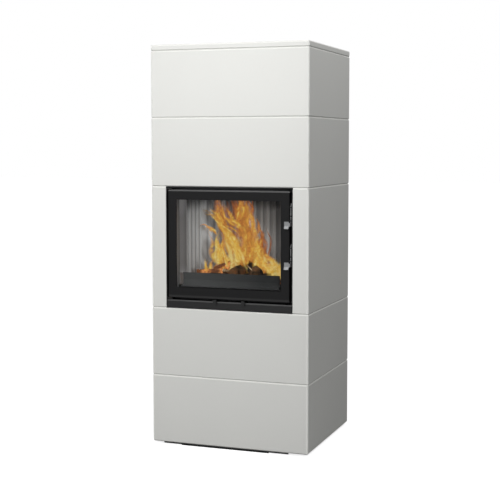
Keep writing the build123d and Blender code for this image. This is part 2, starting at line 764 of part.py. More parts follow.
flange_y1 = door_y1 + retainer_t
screw_offset = retainer_flange / 2 + glass_gap / 2
retainers = []
holes = []
for edge_x, out in ((glass_x0, -1), (glass_x1, 1)):
    z0 = glass_z0 + retainer_end_gap + retainer_t
    z1 = glass_z1 - retainer_end_gap - retainer_t
    leg_x0 = min(edge_x, edge_x - out * retainer_t)
    bar = box(leg_x0, leg_x0 + retainer_t, glass_y1, flange_y1, z0, z1)
    flange_x0 = min(edge_x - out * retainer_t, edge_x + out * retainer_flange)
    bar += box(flange_x0, flange_x0 + retainer_flange + retainer_t, door_y1, flange_y1, z0, z1)
    retainers.append(bar)
    holes += [(edge_x + out * screw_offset, z) for z in (z0 + retainer_side_inset, z1 - retainer_side_inset)]
bar_x0 = glass_x0 + retainer_flange
bar_x1 = glass_x1 - retainer_flange
for edge_z, out in ((glass_z0, -1), (glass_z1, 1)):
    leg_z0 = min(edge_z, edge_z - out * retainer_t)
    bar = box(bar_x0, bar_x1, glass_y1, flange_y1, leg_z0, leg_z0 + retainer_t)
    flange_z0 = min(edge_z - out * retainer_t, edge_z + out * retainer_flange)
    bar += box(bar_x0, bar_x1, door_y1, flange_y1, flange_z0, flange_z0 + retainer_flange + retainer_t)
    retainers.append(bar)
    screw_z = edge_z + out * screw_offset
    holes += [(x, screw_z) for x in (glass_x0 + retainer_end_inset, glass_x1 - retainer_end_inset)]
screws = []
for x, z in holes:
    hole = bar_y(x, z, flange_y1 - retainer_screw_l, flange_y1, retainer_screw_r)
    door -= hole
    retainers = [bar - hole for bar in retainers]
    screws.append(hole + bar_y(x, z, flange_y1, flange_y1 + retainer_head_h, retainer_head_r))
save("door_frame", door)
save("glass_retainers", *retainers)
save("retainer_screws", *screws)

rope = frame_y(rope_x0, rope_x1, rope_z0, rope_z1, door_y1 - rope_groove, plate_y - rope_seat_gap,
               rope_w, rope_w, rope_w, rope_w)
rope = chamfer(rope.faces().sort_by(Axis.Y)[-1].edges(), rope_round)
save("door_rope_seal", rope)

# Latches: lugs on the edge of the door, upright rods with an arm, a bright finger tab and a hook each
lugs = []
for z in latch_tab_z:
    for lug_z in (z + lug_low, z + latch_rod_above - lug_t):
        lug = box(door_x1, door_x1 + lug_w, rod_y - lug_half, rod_y + lug_half, lug_z, lug_z + lug_t)
        lugs.append(lug - post(rod_x, rod_y, lug_z, lug_z + lug_t, latch_rod_r + latch_fit))
save("latch_lugs", *lugs)

tab_y = rod_y - tab_stand_off
for name, z in zip(latch_names, latch_tab_z):
    rod = post(rod_x, rod_y, z + arm_z0, z + latch_rod_above, latch_rod_r)
    rod_top = z + latch_rod_above
    crank_line = Line((rod_x, rod_y, rod_top), (rod_x + latch_crank_x, rod_y, rod_top + latch_crank_h))
    crank = sweep(Plane((rod_x, rod_y, rod_top)) * Circle(latch_rod_r), crank_line)
    arm = box(rod_x - arm_t, rod_x, tab_y, rod_y, z + arm_z0, z + arm_z0 + arm_h)
    arm += box(rod_x - tab_offset, rod_x, tab_y, tab_y + tab_t, z + arm_z0, z + arm_z0 + arm_h)
    save(f"latch_rod_{name}", rod + crank + arm)
    tab = prism_x(
        [
            (tab_y, z + tab_h), (tab_y, z + tab_flare_h), (tab_y - tab_flare_y, z),
            (tab_y - tab_flare_y + tab_t, z), (tab_y + tab_t, z + tab_flare_h), (tab_y + tab_t, z + tab_h),
        ],
        rod_x - tab_offset - tab_w, rod_x - tab_offset,
    )
    save(f"latch_tab_{name}", tab)
    hook_z0 = z + hook_z
    hub = Cylinder(hook_hub_r, hook_t, align=(Align.CENTER, Align.CENTER, Align.MIN))
    hook = hub + box(-hook_arm_w / 2, hook_arm_w / 2, 0, hook_reach, 0, hook_t)
    hook += box(-hook_arm_w / 2, hook_nose, hook_reach - hook_nose_t, hook_reach, 0, hook_t)
    hook = Pos(rod_x, rod_y, hook_z0) * Rot(0, 0, hook_turn) * hook
    save(f"latch_hook_{name}", hook - post(rod_x, rod_y, hook_z0, hook_z0 + hook_t, latch_rod_r))

keepers = []
for z in latch_tab_z:
    keeper_z = z + hook_z + hook_t / 2
    keeper_y = rod_y + keeper_back
    keepers.append(box(surround_in_x - keeper_in, surround_in_x, keeper_y, keeper_y + keeper_t,
                       keeper_z - keeper_h / 2, keeper_z + keeper_h / 2))
save("latch_keepers", *keepers)

# Air levers: a flat bar over the lower strip, a handle hanging in front and a damper behind the front plate
handle_y0 = front_y - handle_gap - handle_t
damper_y = plate_back_y + damper_gap
for name, x in zip(lever_names, lever_x):
    lever = box(x - lever_w / 2, x + lever_w / 2, handle_y0, damper_y, lever_z, lever_z + lever_t)
    lever += box(x - handle_w / 2, x + handle_w / 2, handle_y0, handle_y0 + handle_t,
                 lever_z + lever_t - handle_drop, lever_z + lever_t)
    save(f"air_lever_{name}", lever)
    damper = box(x - damper_w / 2, x + damper_w / 2, damper_y, damper_y + damper_t,
                 port_z - damper_h / 2, port_z + damper_h / 2)
    save(f"air_damper_{name}", damper)

print("stove", case_w, case_d, stove_h)
print("door", door_x0, door_x1, door_y0, door_y1, door_z0, door_z1)
print("view", view_x0, view_x1, view_z0, view_z1)
print("hinge", hinge_x, hinge_y, "rod", rod_x, rod_y)
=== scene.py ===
import bpy
import bmesh
import json
import math
import random
from mathutils import Matrix, Vector, noise


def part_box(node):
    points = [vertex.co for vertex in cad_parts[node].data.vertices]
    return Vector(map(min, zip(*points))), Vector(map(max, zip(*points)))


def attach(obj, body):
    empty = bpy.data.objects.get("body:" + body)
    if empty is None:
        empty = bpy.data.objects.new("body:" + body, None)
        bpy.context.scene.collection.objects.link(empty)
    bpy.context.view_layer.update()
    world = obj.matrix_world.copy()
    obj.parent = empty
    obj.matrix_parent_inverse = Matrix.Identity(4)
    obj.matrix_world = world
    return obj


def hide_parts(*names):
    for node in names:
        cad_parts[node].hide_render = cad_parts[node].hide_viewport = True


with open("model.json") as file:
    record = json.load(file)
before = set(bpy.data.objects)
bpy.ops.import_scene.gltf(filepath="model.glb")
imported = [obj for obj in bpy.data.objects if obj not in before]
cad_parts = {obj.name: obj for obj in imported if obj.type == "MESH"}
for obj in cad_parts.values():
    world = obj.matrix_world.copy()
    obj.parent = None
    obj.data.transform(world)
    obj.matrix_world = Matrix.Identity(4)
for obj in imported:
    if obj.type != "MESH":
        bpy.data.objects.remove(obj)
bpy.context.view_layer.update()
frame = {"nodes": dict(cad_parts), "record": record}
scene = bpy.context.scene


# Shader maths: sockets that add, subtract and multiply like numbers
class Value:
    def __init__(self, surface, socket):
        self.surface = surface
        self.socket = socket

    def maths(self, operation, *terms):
        return self.surface.node("Math", {"operation": operation}, dict(enumerate(terms)))

    def __add__(self, other):
        return self.maths("ADD", self, other)

    def __sub__(self, other):
        return self.maths("SUBTRACT", self, other)

    def __rsub__(self, other):
        return self.maths("SUBTRACT", other, self)

    def __mul__(self, other):
        return self.maths("MULTIPLY", self, other)

    __radd__ = __add__

    def smooth(self, low, high):  # 0 below low, 1 above high
        settings = {"interpolation_type": "SMOOTHSTEP"}
        return self.surface.node("MapRange", settings, {0: self, 1: low, 2: high, 3: 0.0, 4: 1.0})

    def size(self):
        return self.maths("ABSOLUTE", self)


class Surface:
    def __init__(self, name):
        self.material = bpy.data.materials.new(name)
        self.material.use_nodes = True
        self.tree = self.material.node_tree
        self.tree.nodes.clear()
        self.place = self.node("TexCoord", out="Object")

    def node(self, kind, settings=None, sockets=None, out=0):
        made = self.tree.nodes.new("ShaderNode" + kind)
        for key, setting in (settings or {}).items():
            if key == "stops":
                self.setStops(made.color_ramp, setting)
            else:
                setattr(made, key, setting)
        for key, content in (sockets or {}).items():
            if isinstance(content, Value):
                self.tree.links.new(content.socket, made.inputs[key])
            else:
                made.inputs[key].default_value = content
        return Value(self, made.outputs[out]) if made.outputs else None

    def setStops(self, ramp, stops):
        for element, (at, colour) in zip([ramp.elements[0], ramp.elements[1]], [stops[0], stops[-1]]):
            element.position = at
            element.color = (*colour, 1.0)
        for at, colour in stops[1:-1]:
            ramp.elements.new(at).color = (*colour, 1.0)

    def axis(self, name):
        return self.node("SeparateXYZ", sockets={0: self.place}, out=name)

    def stretched(self, x, y, z):
        return self.node("VectorMath", {"operation": "MULTIPLY"}, {0: self.place, 1: (x, y, z)})

    def grain(self, scale, detail=3.0, roughness=0.5, vector=None, distortion=0.0):
        sockets = {"Vector": vector or self.place, "Scale": scale, "Detail": detail,
                   "Roughness": roughness, "Distortion": distortion}
        return self.node("TexNoise", sockets=sockets)

    def cells(self, scale, feature="F1", out="Distance"):
        return self.node("TexVoronoi", {"feature": feature}, {"Vector": self.place, "Scale": scale}, out)

    def mix(self, first, second, factor, blend="MIX"):
        settings = {"data_type": "RGBA", "blend_type": blend}
        first, second = [c if isinstance(c, Value) else (*c, 1.0) for c in (first, second)]
        return self.node("Mix", settings, {0: factor, 6: first, 7: second}, out=2)

    def shade(self, colour, amount):  # colour times a grey amount
        grey = self.node("CombineXYZ", sockets={0: amount, 1: amount, 2: amount})
        return self.mix(colour, grey, 1.0, "MULTIPLY")

    def bump(self, height, strength, distance):
        return self.node("Bump", sockets={"Strength": strength, "Distance": distance, "Height": height})

    def attribute(self, name):
        return self.node("Attribute", {"attribute_name": name}, out="Fac")

    def principled(self, **sockets):
        named = {key.replace("_", " "): content for key, content in sockets.items()}
        named = {key: (*c, 1.0) if isinstance(c, tuple) else c for key, c in named.items()}
        return self.node("BsdfPrincipled", sockets=named)

    def done(self, shader):
        self.node("OutputMaterial", sockets={"Surface": shader})
        return self.material

    def coat(self, colour, roughness, height, bump, **more):
        return self.done(self.principled(Base_Color=colour, Roughness=roughness,
                                         Normal=self.bump(height, *bump), **more))


# Finishes. A noise is its scale, detail and roughness; a bump is its strength and its depth in metres
ringNames = ("ring_bottom", "ring_lower", "ring_door", "ring_upper", "ring_top", "top_plate")
concreteLook = {"paint": (0.720, 0.722, 0.694), "gloss": 0.46, "sandGloss": 0.16, "shine": 0.35,
                "cloud": (3.2, 5.0, 0.55), "sand": (95.0, 4.0, 0.6), "poreCells": 240.0,
                "poreEdge": (0.05, 0.22), "poreField": (12.0, 2.0), "poreGroups": (0.56, 0.72),
                "tone": 0.962, "cloudTone": 0.05, "sandTone": 0.022, "poreTone": 0.10, "cloudRelief": 0.4,
                "sandRelief": 0.25, "bump": (0.22, 0.0005), "rimHighlight": 0.26, "rimDrop": 0.0019,
                "rimEdge": (0.0020, 0.0034), "footStep": 0.0003, "footNear": 0.0022, "footFar": 0.0040,
                "footShade": 0.34, "corner": (0.0030, 0.0085), "lowCornerHighlight": 0.40, "highCornerHighlight": 0.16,
                "highlightRise": (0.35, 1.30)}


def makeConcrete(look):
    s = Surface("paintedConcrete")
    lo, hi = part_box("ring_door")
    x, y, z = s.axis("X"), s.axis("Y"), s.axis("Z")
    toSide = hi.x - x.size()
    toFront = (hi.y - lo.y) / 2 - (y - (lo.y + hi.y) / 2).size()
    corner = (1 - toSide.smooth(*look["corner"])) * (1 - toFront.smooth(*look["corner"]))
    rising = z.smooth(*look["highlightRise"])  # painted highlight on the corners, stronger near the floor
    paintedHighlight = corner * (look["lowCornerHighlight"] + rising * (look["highCornerHighlight"] - look["lowCornerHighlight"]))
    paintedFootShade = 0.0
    for name in ringNames:  # painted highlight along a ring's head, and painted shade along the foot of the one above
        foot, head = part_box(name)[0].z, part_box(name)[1].z
        rim = (z - (head - look["rimDrop"])).size()
        paintedHighlight = paintedHighlight.maths("MAXIMUM", paintedHighlight, (1 - rim.smooth(*look["rimEdge"])) * look["rimHighlight"])
        over = z.smooth(foot - look["footStep"], foot)
        paintedFootShade = over * (1 - z.smooth(foot + look["footNear"], foot + look["footFar"])) + paintedFootShade
    cloud, sand = s.grain(*look["cloud"]), s.grain(*look["sand"])
    field = s.grain(*look["poreField"]).smooth(*look["poreGroups"])
    pores = (1 - s.cells(look["poreCells"]).smooth(*look["poreEdge"])) * field
    tone = look["tone"] + cloud * look["cloudTone"] + sand * look["sandTone"] - pores * look["poreTone"]
    lift = (1 + paintedHighlight) * (1 - paintedFootShade * look["footShade"])
    relief = cloud * look["cloudRelief"] + sand * look["sandRelief"] - pores
    return s.coat(s.shade(look["paint"], tone * lift), look["gloss"] + sand * look["sandGloss"],
                  relief, look["bump"], Specular_IOR_Level=look["shine"])


doorFoot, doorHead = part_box("door_frame")[0].z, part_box("door_frame")[1].z
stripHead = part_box("lower_strip")[1].z
blackLook = {"name": "blackPowderCoat", "paint": (0.0125, 0.0126, 0.0130), "peel": (900.0, 2.0),
             "dust": (14.0, 5.0, 0.6), "tone": 0.85, "dustTone": 0.30, "gloss": 0.40, "peelGloss": 0.10,
             "dustGloss": 0.10, "shine": 0.28, "bump": (0.10, 0.0003), "edges": []}
# the door's bands are painted highlights on its top bevel and along its foot
doorLook = dict(blackLook, name="blackDoorPaint", paint=(0.0078, 0.0078, 0.0082), gloss=0.44, shine=0.17,
                edges=[(doorHead - 0.0060, doorHead - 0.0048, 0.135),
                       (doorFoot + 0.0095, doorFoot + 0.0080, 0.024)])
# the strip's bands are a painted highlight on its bevel and painted shade on its top face behind it
stripLook = dict(blackLook, name="blackStripPaint", edges=[(stripHead - 0.0052, stripHead - 0.0042, 0.085),
                                                           (stripHead - 0.0006, stripHead - 0.0003, 0.002)])


def makeBlackSteel(look):
    s = Surface(look["name"])
    peel, dust = s.grain(*look["peel"]), s.grain(*look["dust"])
    colour = look["paint"]
    for low, high, pale in look["edges"]:  # a band of painted light from one level to another: pale bands are painted highlights on bevels, a near-black band is painted shade
        colour = s.mix(colour, (pale, pale, pale), s.axis("Z").smooth(low, high))
    tone = look["tone"] + dust * look["dustTone"]
    gloss = look["gloss"] + peel * look["peelGloss"] + dust * look["dustGloss"]
    return s.coat(s.shade(colour, tone), gloss, peel, look["bump"], Specular_IOR_Level=look["shine"])


bareLook = {"name": "stovePaintSteel", "paint": (0.060, 0.060, 0.063), "scorch": (0.10, 0.075, 0.06),
            "roll": (7.0, 5.0, 0.6), "rollStretch": (1.0, 1.0, 6.0), "speck": (420.0, 2.0),
            "scorchAt": (0.5, 0.8), "scorchMost": 0.5, "tone": 0.85, "speckTone": 0.3, "metal": 0.35,
            "gloss": 0.5, "rollGloss": 0.15, "bump": (0.12, 0.0003), "fade": 0.0, "paintedShadeAt": (-0.17, 0.16)}
retainerLook = dict(bareLook, name="greySteelStrip", paint=(0.27, 0.27, 0.274), scorch=(0.22, 0.216, 0.214))
# the guard plate gets painted shade towards its right end
guardLook = dict(bareLook, name="guardPlate", paint=(0.086, 0.084, 0.081), scorch=(0.094, 0.090, 0.086),
                 gloss=0.55, fade=0.78)


def makeSheetSteel(look):
    s = Surface(look["name"])
    rolled = s.grain(*look["roll"], s.stretched(*look["rollStretch"]))
    speck = s.grain(*look["speck"])
    colour = s.mix(look["paint"], look["scorch"], rolled.smooth(*look["scorchAt"]) * look["scorchMost"])
    # painted shade, darker towards the right (+x) where fade is set
    darkening = 1 - s.axis("X").smooth(*look["paintedShadeAt"]) * look["fade"]
    tone = (look["tone"] + speck * look["speckTone"]) * darkening
    return s.coat(s.shade(colour, tone), look["gloss"] + rolled * look["rollGloss"], speck, look["bump"],
                  Metallic=look["metal"])


zincLook = {"paint": (0.58, 0.60, 0.62), "spangle": 130.0, "speck": (600.0, 2.0), "tone": 0.82,
            "spangleTone": 0.22, "gloss": 0.30, "spangleGloss": 0.14, "bump": (0.08, 0.0002)}


def makeZinc(look):
    s = Surface("zincPlate")
    grey = s.node("RGBToBW", sockets={0: s.cells(look["spangle"], out="Color")})
    tone = look["tone"] + grey * look["spangleTone"]
    return s.coat(s.shade(look["paint"], tone), look["gloss"] + grey * look["spangleGloss"],
                  s.grain(*look["speck"]), look["bump"], Metallic=1.0)


stainlessLook = {"paint": (0.29, 0.295, 0.30), "brush": (1.0, 3.0, 0.6),
                 "brushStretch": (2600.0, 2600.0, 60.0), "smear": (45.0, 3.0), "tone": 0.80,
                 "brushTone": 0.22, "smearTone": 0.1, "metal": 0.92, "gloss": 0.42, "brushGloss": 0.2,
                 "bump": (0.10, 0.0002)}


def makeStainless(look):
    s = Surface("brushedStainless")
    brush = s.grain(*look["brush"], s.stretched(*look["brushStretch"]))
    tone = look["tone"] + brush * look["brushTone"] + s.grain(*look["smear"]) * look["smearTone"]
    return s.coat(s.shade(look["paint"], tone), look["gloss"] + brush * look["brushGloss"], brush,
                  look["bump"], Metallic=look["metal"])


cheekFront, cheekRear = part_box("left_cheek")[0].y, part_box("left_cheek")[1].y
castLook = {"name": "castIron", "paint": (0.155, 0.156, 0.160), "sand": (520.0, 3.0, 0.6),
            "cloud": (16.0, 5.0, 0.6), "cloudStretch": (1.0, 1.0, 0.4), "tone": 0.80, "cloudTone": 0.28,
            "sandTone": 0.14, "metal": 0.15, "gloss": 0.60, "cloudGloss": 0.15, "bump": (0.30, 0.0006),
            "fades": []}
# the cheek plate is a paler copy of the cast iron, painted light; paler still at foot and top, with painted
# shade towards its rear
cheekLook = dict(castLook, name="cheekPlatePaintedLight", paint=(0.290, 0.290, 0.294),
                 fades=[("Z", 0.690, 0.620, 1.00), ("Z", 0.860, 0.920, 0.50),
                        ("Y", cheekFront + 0.026, cheekRear - 0.006, -0.30)])


def makeCastIron(look):
    s = Surface(look["name"])
    sand = s.grain(*look["sand"])
    cloud = s.grain(*look["cloud"], s.stretched(*look["cloudStretch"]))
    tone = look["tone"] + cloud * look["cloudTone"] + sand * look["sandTone"]
    for axis, start, end, gain in look["fades"]:  # paler at top and foot, and painted shade deepening towards the rear
        tone = tone * (1 + s.axis(axis).smooth(start, end) * gain)
    return s.coat(s.shade(look["paint"], tone), look["gloss"] + cloud * look["cloudGloss"], sand,
                  look["bump"], Metallic=look["metal"])


# bricks darken with soot and painted shade towards the chamber's top; the soot colour serves both
brickLook = {"name": "lightFireBrick", "clay": (0.52, 0.505, 0.49), "soot": (0.035, 0.033, 0.032),
             "sootAndShadeAt": (0.872, 0.930), "sootAndShadeMost": 0.86, "sootAndShadeRagged": 0.05, "flakes": 330.0,
             "cloud": (22.0, 5.0, 0.6), "cloudStretch": (1.0, 1.0, 0.35), "tone": 0.84, "cloudTone": 0.22,
             "flakeTone": 0.10, "groove": 0.0, "grooveAxis": "X", "grooveStart": 0.0, "grooveEnd": 1.0,
             "grooveFade": 0.001, "pitch": 0.027, "corner": 0.0, "rightSootAndShadeAt": (0.058, 0.125),
             "rightSootAndShadeRise": 0.03, "gloss": 0.78, "cloudGloss": 0.15, "flakeRelief": 0.6,
             "bump": (0.30, 0.0008)}
linerFront, sidePitch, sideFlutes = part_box("left_liner")[0].y, 0.0266, 4
sideBrickLook = dict(brickLook, name="sideFireBrick", groove=0.55, grooveAxis="Y", pitch=sidePitch,
                     grooveStart=linerFront, grooveEnd=linerFront + sideFlutes * sidePitch)
rearBrickLook = dict(brickLook, name="rearFireBrick", groove=0.35, grooveStart=0.0135, corner=0.72)
hearthLook = dict(brickLook, name="sootyHearthBrick", clay=(0.075, 0.072, 0.070))


def makeBrick(look):
    s = Surface(look["name"])
    flake = s.cells(look["flakes"])
    cloud = s.grain(*look["cloud"], s.stretched(*look["cloudStretch"]))
    # soot and painted shade: along the chamber's top, and over the rear wall's right part
    corner = s.axis("X").smooth(*look["rightSootAndShadeAt"]) * look["corner"]
    sootAndShadeLine = s.axis("Z") + (cloud - 0.5) * look["sootAndShadeRagged"] + corner * look["rightSootAndShadeRise"]
    darkening = sootAndShadeLine.smooth(*look["sootAndShadeAt"]) * look["sootAndShadeMost"]
    darkening = darkening.maths("MAXIMUM", darkening, corner)
    tone = look["tone"] + cloud * look["cloudTone"] + flake * look["flakeTone"]
    colour = s.shade(s.mix(look["clay"], look["soot"], darkening), tone)
    across = s.axis(look["grooveAxis"])
    turns = (across - look["grooveStart"]) * (math.tau / look["pitch"])
    paintedGrooveShade = (turns.maths("COSINE", turns) * -0.5 + 0.5) * look["groove"]  # painted shade in the flutes
    end, fade = look["grooveEnd"], look["grooveFade"]
    paintedGrooveShade = paintedGrooveShade * (1 - across.smooth(end - fade, end + fade))
    return s.coat(s.shade(colour, 1 - paintedGrooveShade), look["gloss"] + cloud * look["cloudGloss"],
                  flake * look["flakeRelief"] + cloud, look["bump"])


stoneLook = {"dark": (0.045, 0.047, 0.050), "pale": (0.16, 0.16, 0.165), "speck": (480.0, 3.0, 0.7),
             "speckAt": (0.6, 0.75), "speckMost": 0.4, "vein": (15.0, 6.0, 0.6), "veinTwist": 1.2,
             "veinAt": (0.55, 0.7), "veinMost": 0.5, "gloss": 0.42, "speckGloss": 0.2,
             "bump": (0.2, 0.0005)}


def makeHeatStone(look):
    s = Surface("denseHeatStone")
    speck = s.grain(*look["speck"])
    vein = s.grain(*look["vein"], distortion=look["veinTwist"]).smooth(*look["veinAt"])
    paler = vein * look["veinMost"] + speck.smooth(*look["speckAt"]) * look["speckMost"]
    return s.coat(s.mix(look["dark"], look["pale"], paler), look["gloss"] + speck * look["speckGloss"],
                  speck, look["bump"])


glassLook = {"tint": (0.93, 0.94, 0.945), "film": (0.02, 0.02, 0.02), "smear": (9.0, 5.0, 0.6),
             "index": 1.5, "reflects": 0.75, "gloss": 0.04, "smearGloss": 0.05, "shine": 1.0}


def makeGlass(look):
    s = Surface("clearCeramicGlass")
    edge = s.node("Fresnel", sockets={"IOR": look["index"]})
    clear = s.node("BsdfTransparent", sockets={"Color": (*look["tint"], 1.0)})
    film = s.principled(Base_Color=look["film"], Specular_IOR_Level=look["shine"],
                        Roughness=look["gloss"] + s.grain(*look["smear"]) * look["smearGloss"])
    return s.done(s.node("MixShader", sockets={0: edge * look["reflects"], 1: clear, 2: film}))


ropeLook = {"yarn": (0.145, 0.147, 0.152), "graphite": (0.045, 0.045, 0.048), "weave": (900.0, 3.0, 0.6),
            "ridgePale": 0.7, "weavePale": 0.4, "gloss": 0.85, "bump": (0.35, 0.0006)}


def makeRope(look):
    s = Surface("glassFibreRope")
    weave = s.grain(*look["weave"])
    paler = s.attribute("ridge") * look["ridgePale"] + weave * look["weavePale"]
    return s.coat(s.mix(look["graphite"], look["yarn"], paler), look["gloss"], weave, look["bump"])


# a near-black brass: painted shade for the washers that sit in the dark gap at the door's corners
brassLook = {"paint": (0.055, 0.040, 0.022), "turning": (1.0, 2.0, 0.5),
             "turningStretch": (80.0, 80.0, 1800.0), "tone": 0.85, "ringTone": 0.2, "gloss": 0.28,
             "ringGloss": 0.2, "bump": (0.1, 0.0002)}


def makeBrass(look):
    s = Surface("brassInPaintedShade")
    rings = s.grain(*look["turning"], s.stretched(*look["turningStretch"]))
    tone = look["tone"] + rings * look["ringTone"]
    return s.coat(s.shade(look["paint"], tone), look["gloss"] + rings * look["ringGloss"], rings,
                  look["bump"], Metallic=1.0)


woodLook = {"name": "charredWood", "bark": (0.16, 0.085, 0.038), "char": (0.014, 0.012, 0.011),
            "ash": (0.34, 0.32, 0.29), "glow": (1.0, 0.26, 0.05), "heart": 0.55, "lit": 0.35,
            "strength": 0.7, "cracks": 120.0, "patch": (24.0, 4.0, 0.6), "fibre": (288.0, 3.0, 0.6),
            "barkAt": (0.42, 0.58), "ashFibre": (0.55, 0.8), "ashPatch": (0.5, 0.66), "ashMost": 0.6,
            "heartCrack": (0.0, 0.05), "heartPatch": (0.55, 0.66), "crackWidth": (0.0, 0.12),
            "crackTone": 0.55, "faceTone": 0.55, "gloss": 0.9, "fibreRelief": 0.4, "bump": (0.6, 0.002)}
splitLook = dict(woodLook, name="splitWood", bark=(0.55, 0.40, 0.24), char=(0.20, 0.13, 0.07), heart=0.0,
                 lit=0.9)
# logs with glowing cracks and painted firelight: an orange bark given off strongly as emission
glowingFirelitLook = dict(woodLook, name="glowingFirelitWood", bark=(0.50, 0.19, 0.055), char=(0.12, 0.045, 0.020), heart=1.9,
                lit=1.5)


def makeCharredWood(look):
    s = Surface(look["name"])
    cracks = s.cells(look["cracks"], "DISTANCE_TO_EDGE")
    patch, fibre = s.grain(*look["patch"]), s.grain(*look["fibre"])
    bare = s.mix(look["char"], look["bark"], patch.smooth(*look["barkAt"]))
    ashen = fibre.smooth(*look["ashFibre"]) * patch.smooth(*look["ashPatch"]) * look["ashMost"]
    raised = cracks.smooth(*look["crackWidth"])
    wood = s.shade(s.mix(bare, look["ash"], ashen), look["crackTone"] + raised * look["faceTone"])
    heart = (1 - cracks.smooth(*look["heartCrack"])) * patch.smooth(*look["heartPatch"]) * look["heart"]
    firelit = s.shade(wood, look["lit"])  # the light of the fire on its faces
    glow = s.mix(s.shade(look["glow"], heart), firelit, 1.0, "ADD")
    return s.coat(wood, look["gloss"], raised + fibre * look["fibreRelief"], look["bump"],
                  Emission_Color=glow, Emission_Strength=look["strength"])


emberLook = {"coal": (0.015, 0.012, 0.011), "ash": (0.42, 0.40, 0.38), "glow": (1.0, 0.25, 0.03),
             "heat": (70.0, 4.0, 0.6), "heatAt": (0.47, 0.62), "dust": (210.0, 3.0, 0.6),
             "dustAt": (0.5, 0.7), "dustMost": 0.5, "gloss": 0.9, "strength": 0.7, "bump": (0.5, 0.001)}


def makeEmber(look):
    s = Surface("glowingEmber")
    heat, dust = s.grain(*look["heat"]), s.grain(*look["dust"])
    colour = s.mix(look["coal"], look["ash"], dust.smooth(*look["dustAt"]) * look["dustMost"])
    glow = s.shade(look["glow"], heat.smooth(*look["heatAt"]))
    return s.coat(colour, look["gloss"], dust, look["bump"], Emission_Color=glow,
                  Emission_Strength=look["strength"])


ashLook = {"name": "woodAsh", "light": (0.40, 0.39, 0.375), "dark": (0.10, 0.095, 0.09),
           "clump": (45.0, 5.0, 0.65), "clumpAt": (0.3, 0.7), "dust": (380.0, 3.0, 0.6), "dustRelief": 0.3,
           "gloss": 0.95, "bump": (0.6, 0.002)}
crumbLook = dict(ashLook, name="paleAsh", light=(0.95, 0.94, 0.92), dark=(0.55, 0.54, 0.52))


def makeAsh(look):
    s = Surface(look["name"])
    clump = s.grain(*look["clump"])
    relief = clump + s.grain(*look["dust"]) * look["dustRelief"]
    colour = s.mix(look["dark"], look["light"], clump.smooth(*look["clumpAt"]))
    return s.coat(colour, look["gloss"], relief, look["bump"])


flameLook = {"across": 36.0, "along": 25.0, "streak": (1.0, 2.0, 0.45), "fine": (2.6, 1.5, 0.5), "licks": 3.4,
             "strength": 1.14, "streakHeat": 1.6, "fineHeat": 0.5, "edgeHeat": 0.20, "riseHeat": 0.16,
             "high": (0.860, 0.965), "highHeat": 0.22, "highThin": 0.48, "right": (0.085, 0.135),
             "rightTop": (0.69, 0.74), "rightThin": 0.46, "edgeRagged": 0.8, "edgeFade": (0.05, 1.0),
             "tipRagged": 0.4, "tipFade": (0.50, 1.0), "footFade": (0.0, 0.16), "fineHoles": 0.3,
             "holes": (0.42, 0.74), "holeCover": 0.65, "leastCover": 0.35,
             "stops": [(0.0, (0.28, 0.080, 0.026)), (0.22, (0.44, 0.150, 0.036)),
                       (0.46, (0.58, 0.250, 0.044)), (0.68, (0.64, 0.370, 0.060)),
                       (0.86, (0.66, 0.450, 0.095)), (1.0, (0.70, 0.560, 0.210))]}


def makeFlame(look):
    s = Surface("flame")
    lick = s.attribute("lick")
    across, along = s.attribute("across") * look["across"] + lick, s.attribute("along") * look["along"]
    flow = s.node("CombineXYZ", sockets={0: across, 1: along, 2: lick})
    streak = s.grain(*look["streak"], flow, look["licks"])
    fine = s.grain(*look["fine"], flow, look["licks"])
    edge, rise, high = s.attribute("edge"), s.attribute("rise"), s.axis("Z").smooth(*look["high"])
    heat = s.attribute("warmth") + (streak - 0.5) * look["streakHeat"] + (fine - 0.5) * look["fineHeat"]
    heat = heat - edge * look["edgeHeat"] - rise * look["riseHeat"] - high * look["highHeat"]
    colour = s.node("ValToRGB", {"stops": look["stops"]}, {"Fac": heat})
    edgeFade = 1 - (edge + (streak - 0.5) * look["edgeRagged"]).smooth(*look["edgeFade"])
    tipFade = 1 - (rise + (fine - 0.5) * look["tipRagged"]).smooth(*look["tipFade"])
    footFade = rise.smooth(*look["footFade"])
    holes = (streak + fine * look["fineHoles"]).smooth(*look["holes"])
    holes = holes * look["holeCover"] + look["leastCover"]
    right = s.axis("X").smooth(*look["right"]) * (1 - s.axis("Z").smooth(*look["rightTop"]))
    cover = edgeFade * tipFade * footFade * holes * s.attribute("dense")
    cover = cover * (1 - high * look["highThin"]) * (1 - right * look["rightThin"])
    made = s.done(s.principled(Base_Color=(0.0, 0.0, 0.0), Roughness=1.0, Specular_IOR_Level=0.0,
                               Emission_Color=colour, Emission_Strength=look["strength"], Alpha=cover))
    made.cycles.emission_sampling = "NONE"
    return made


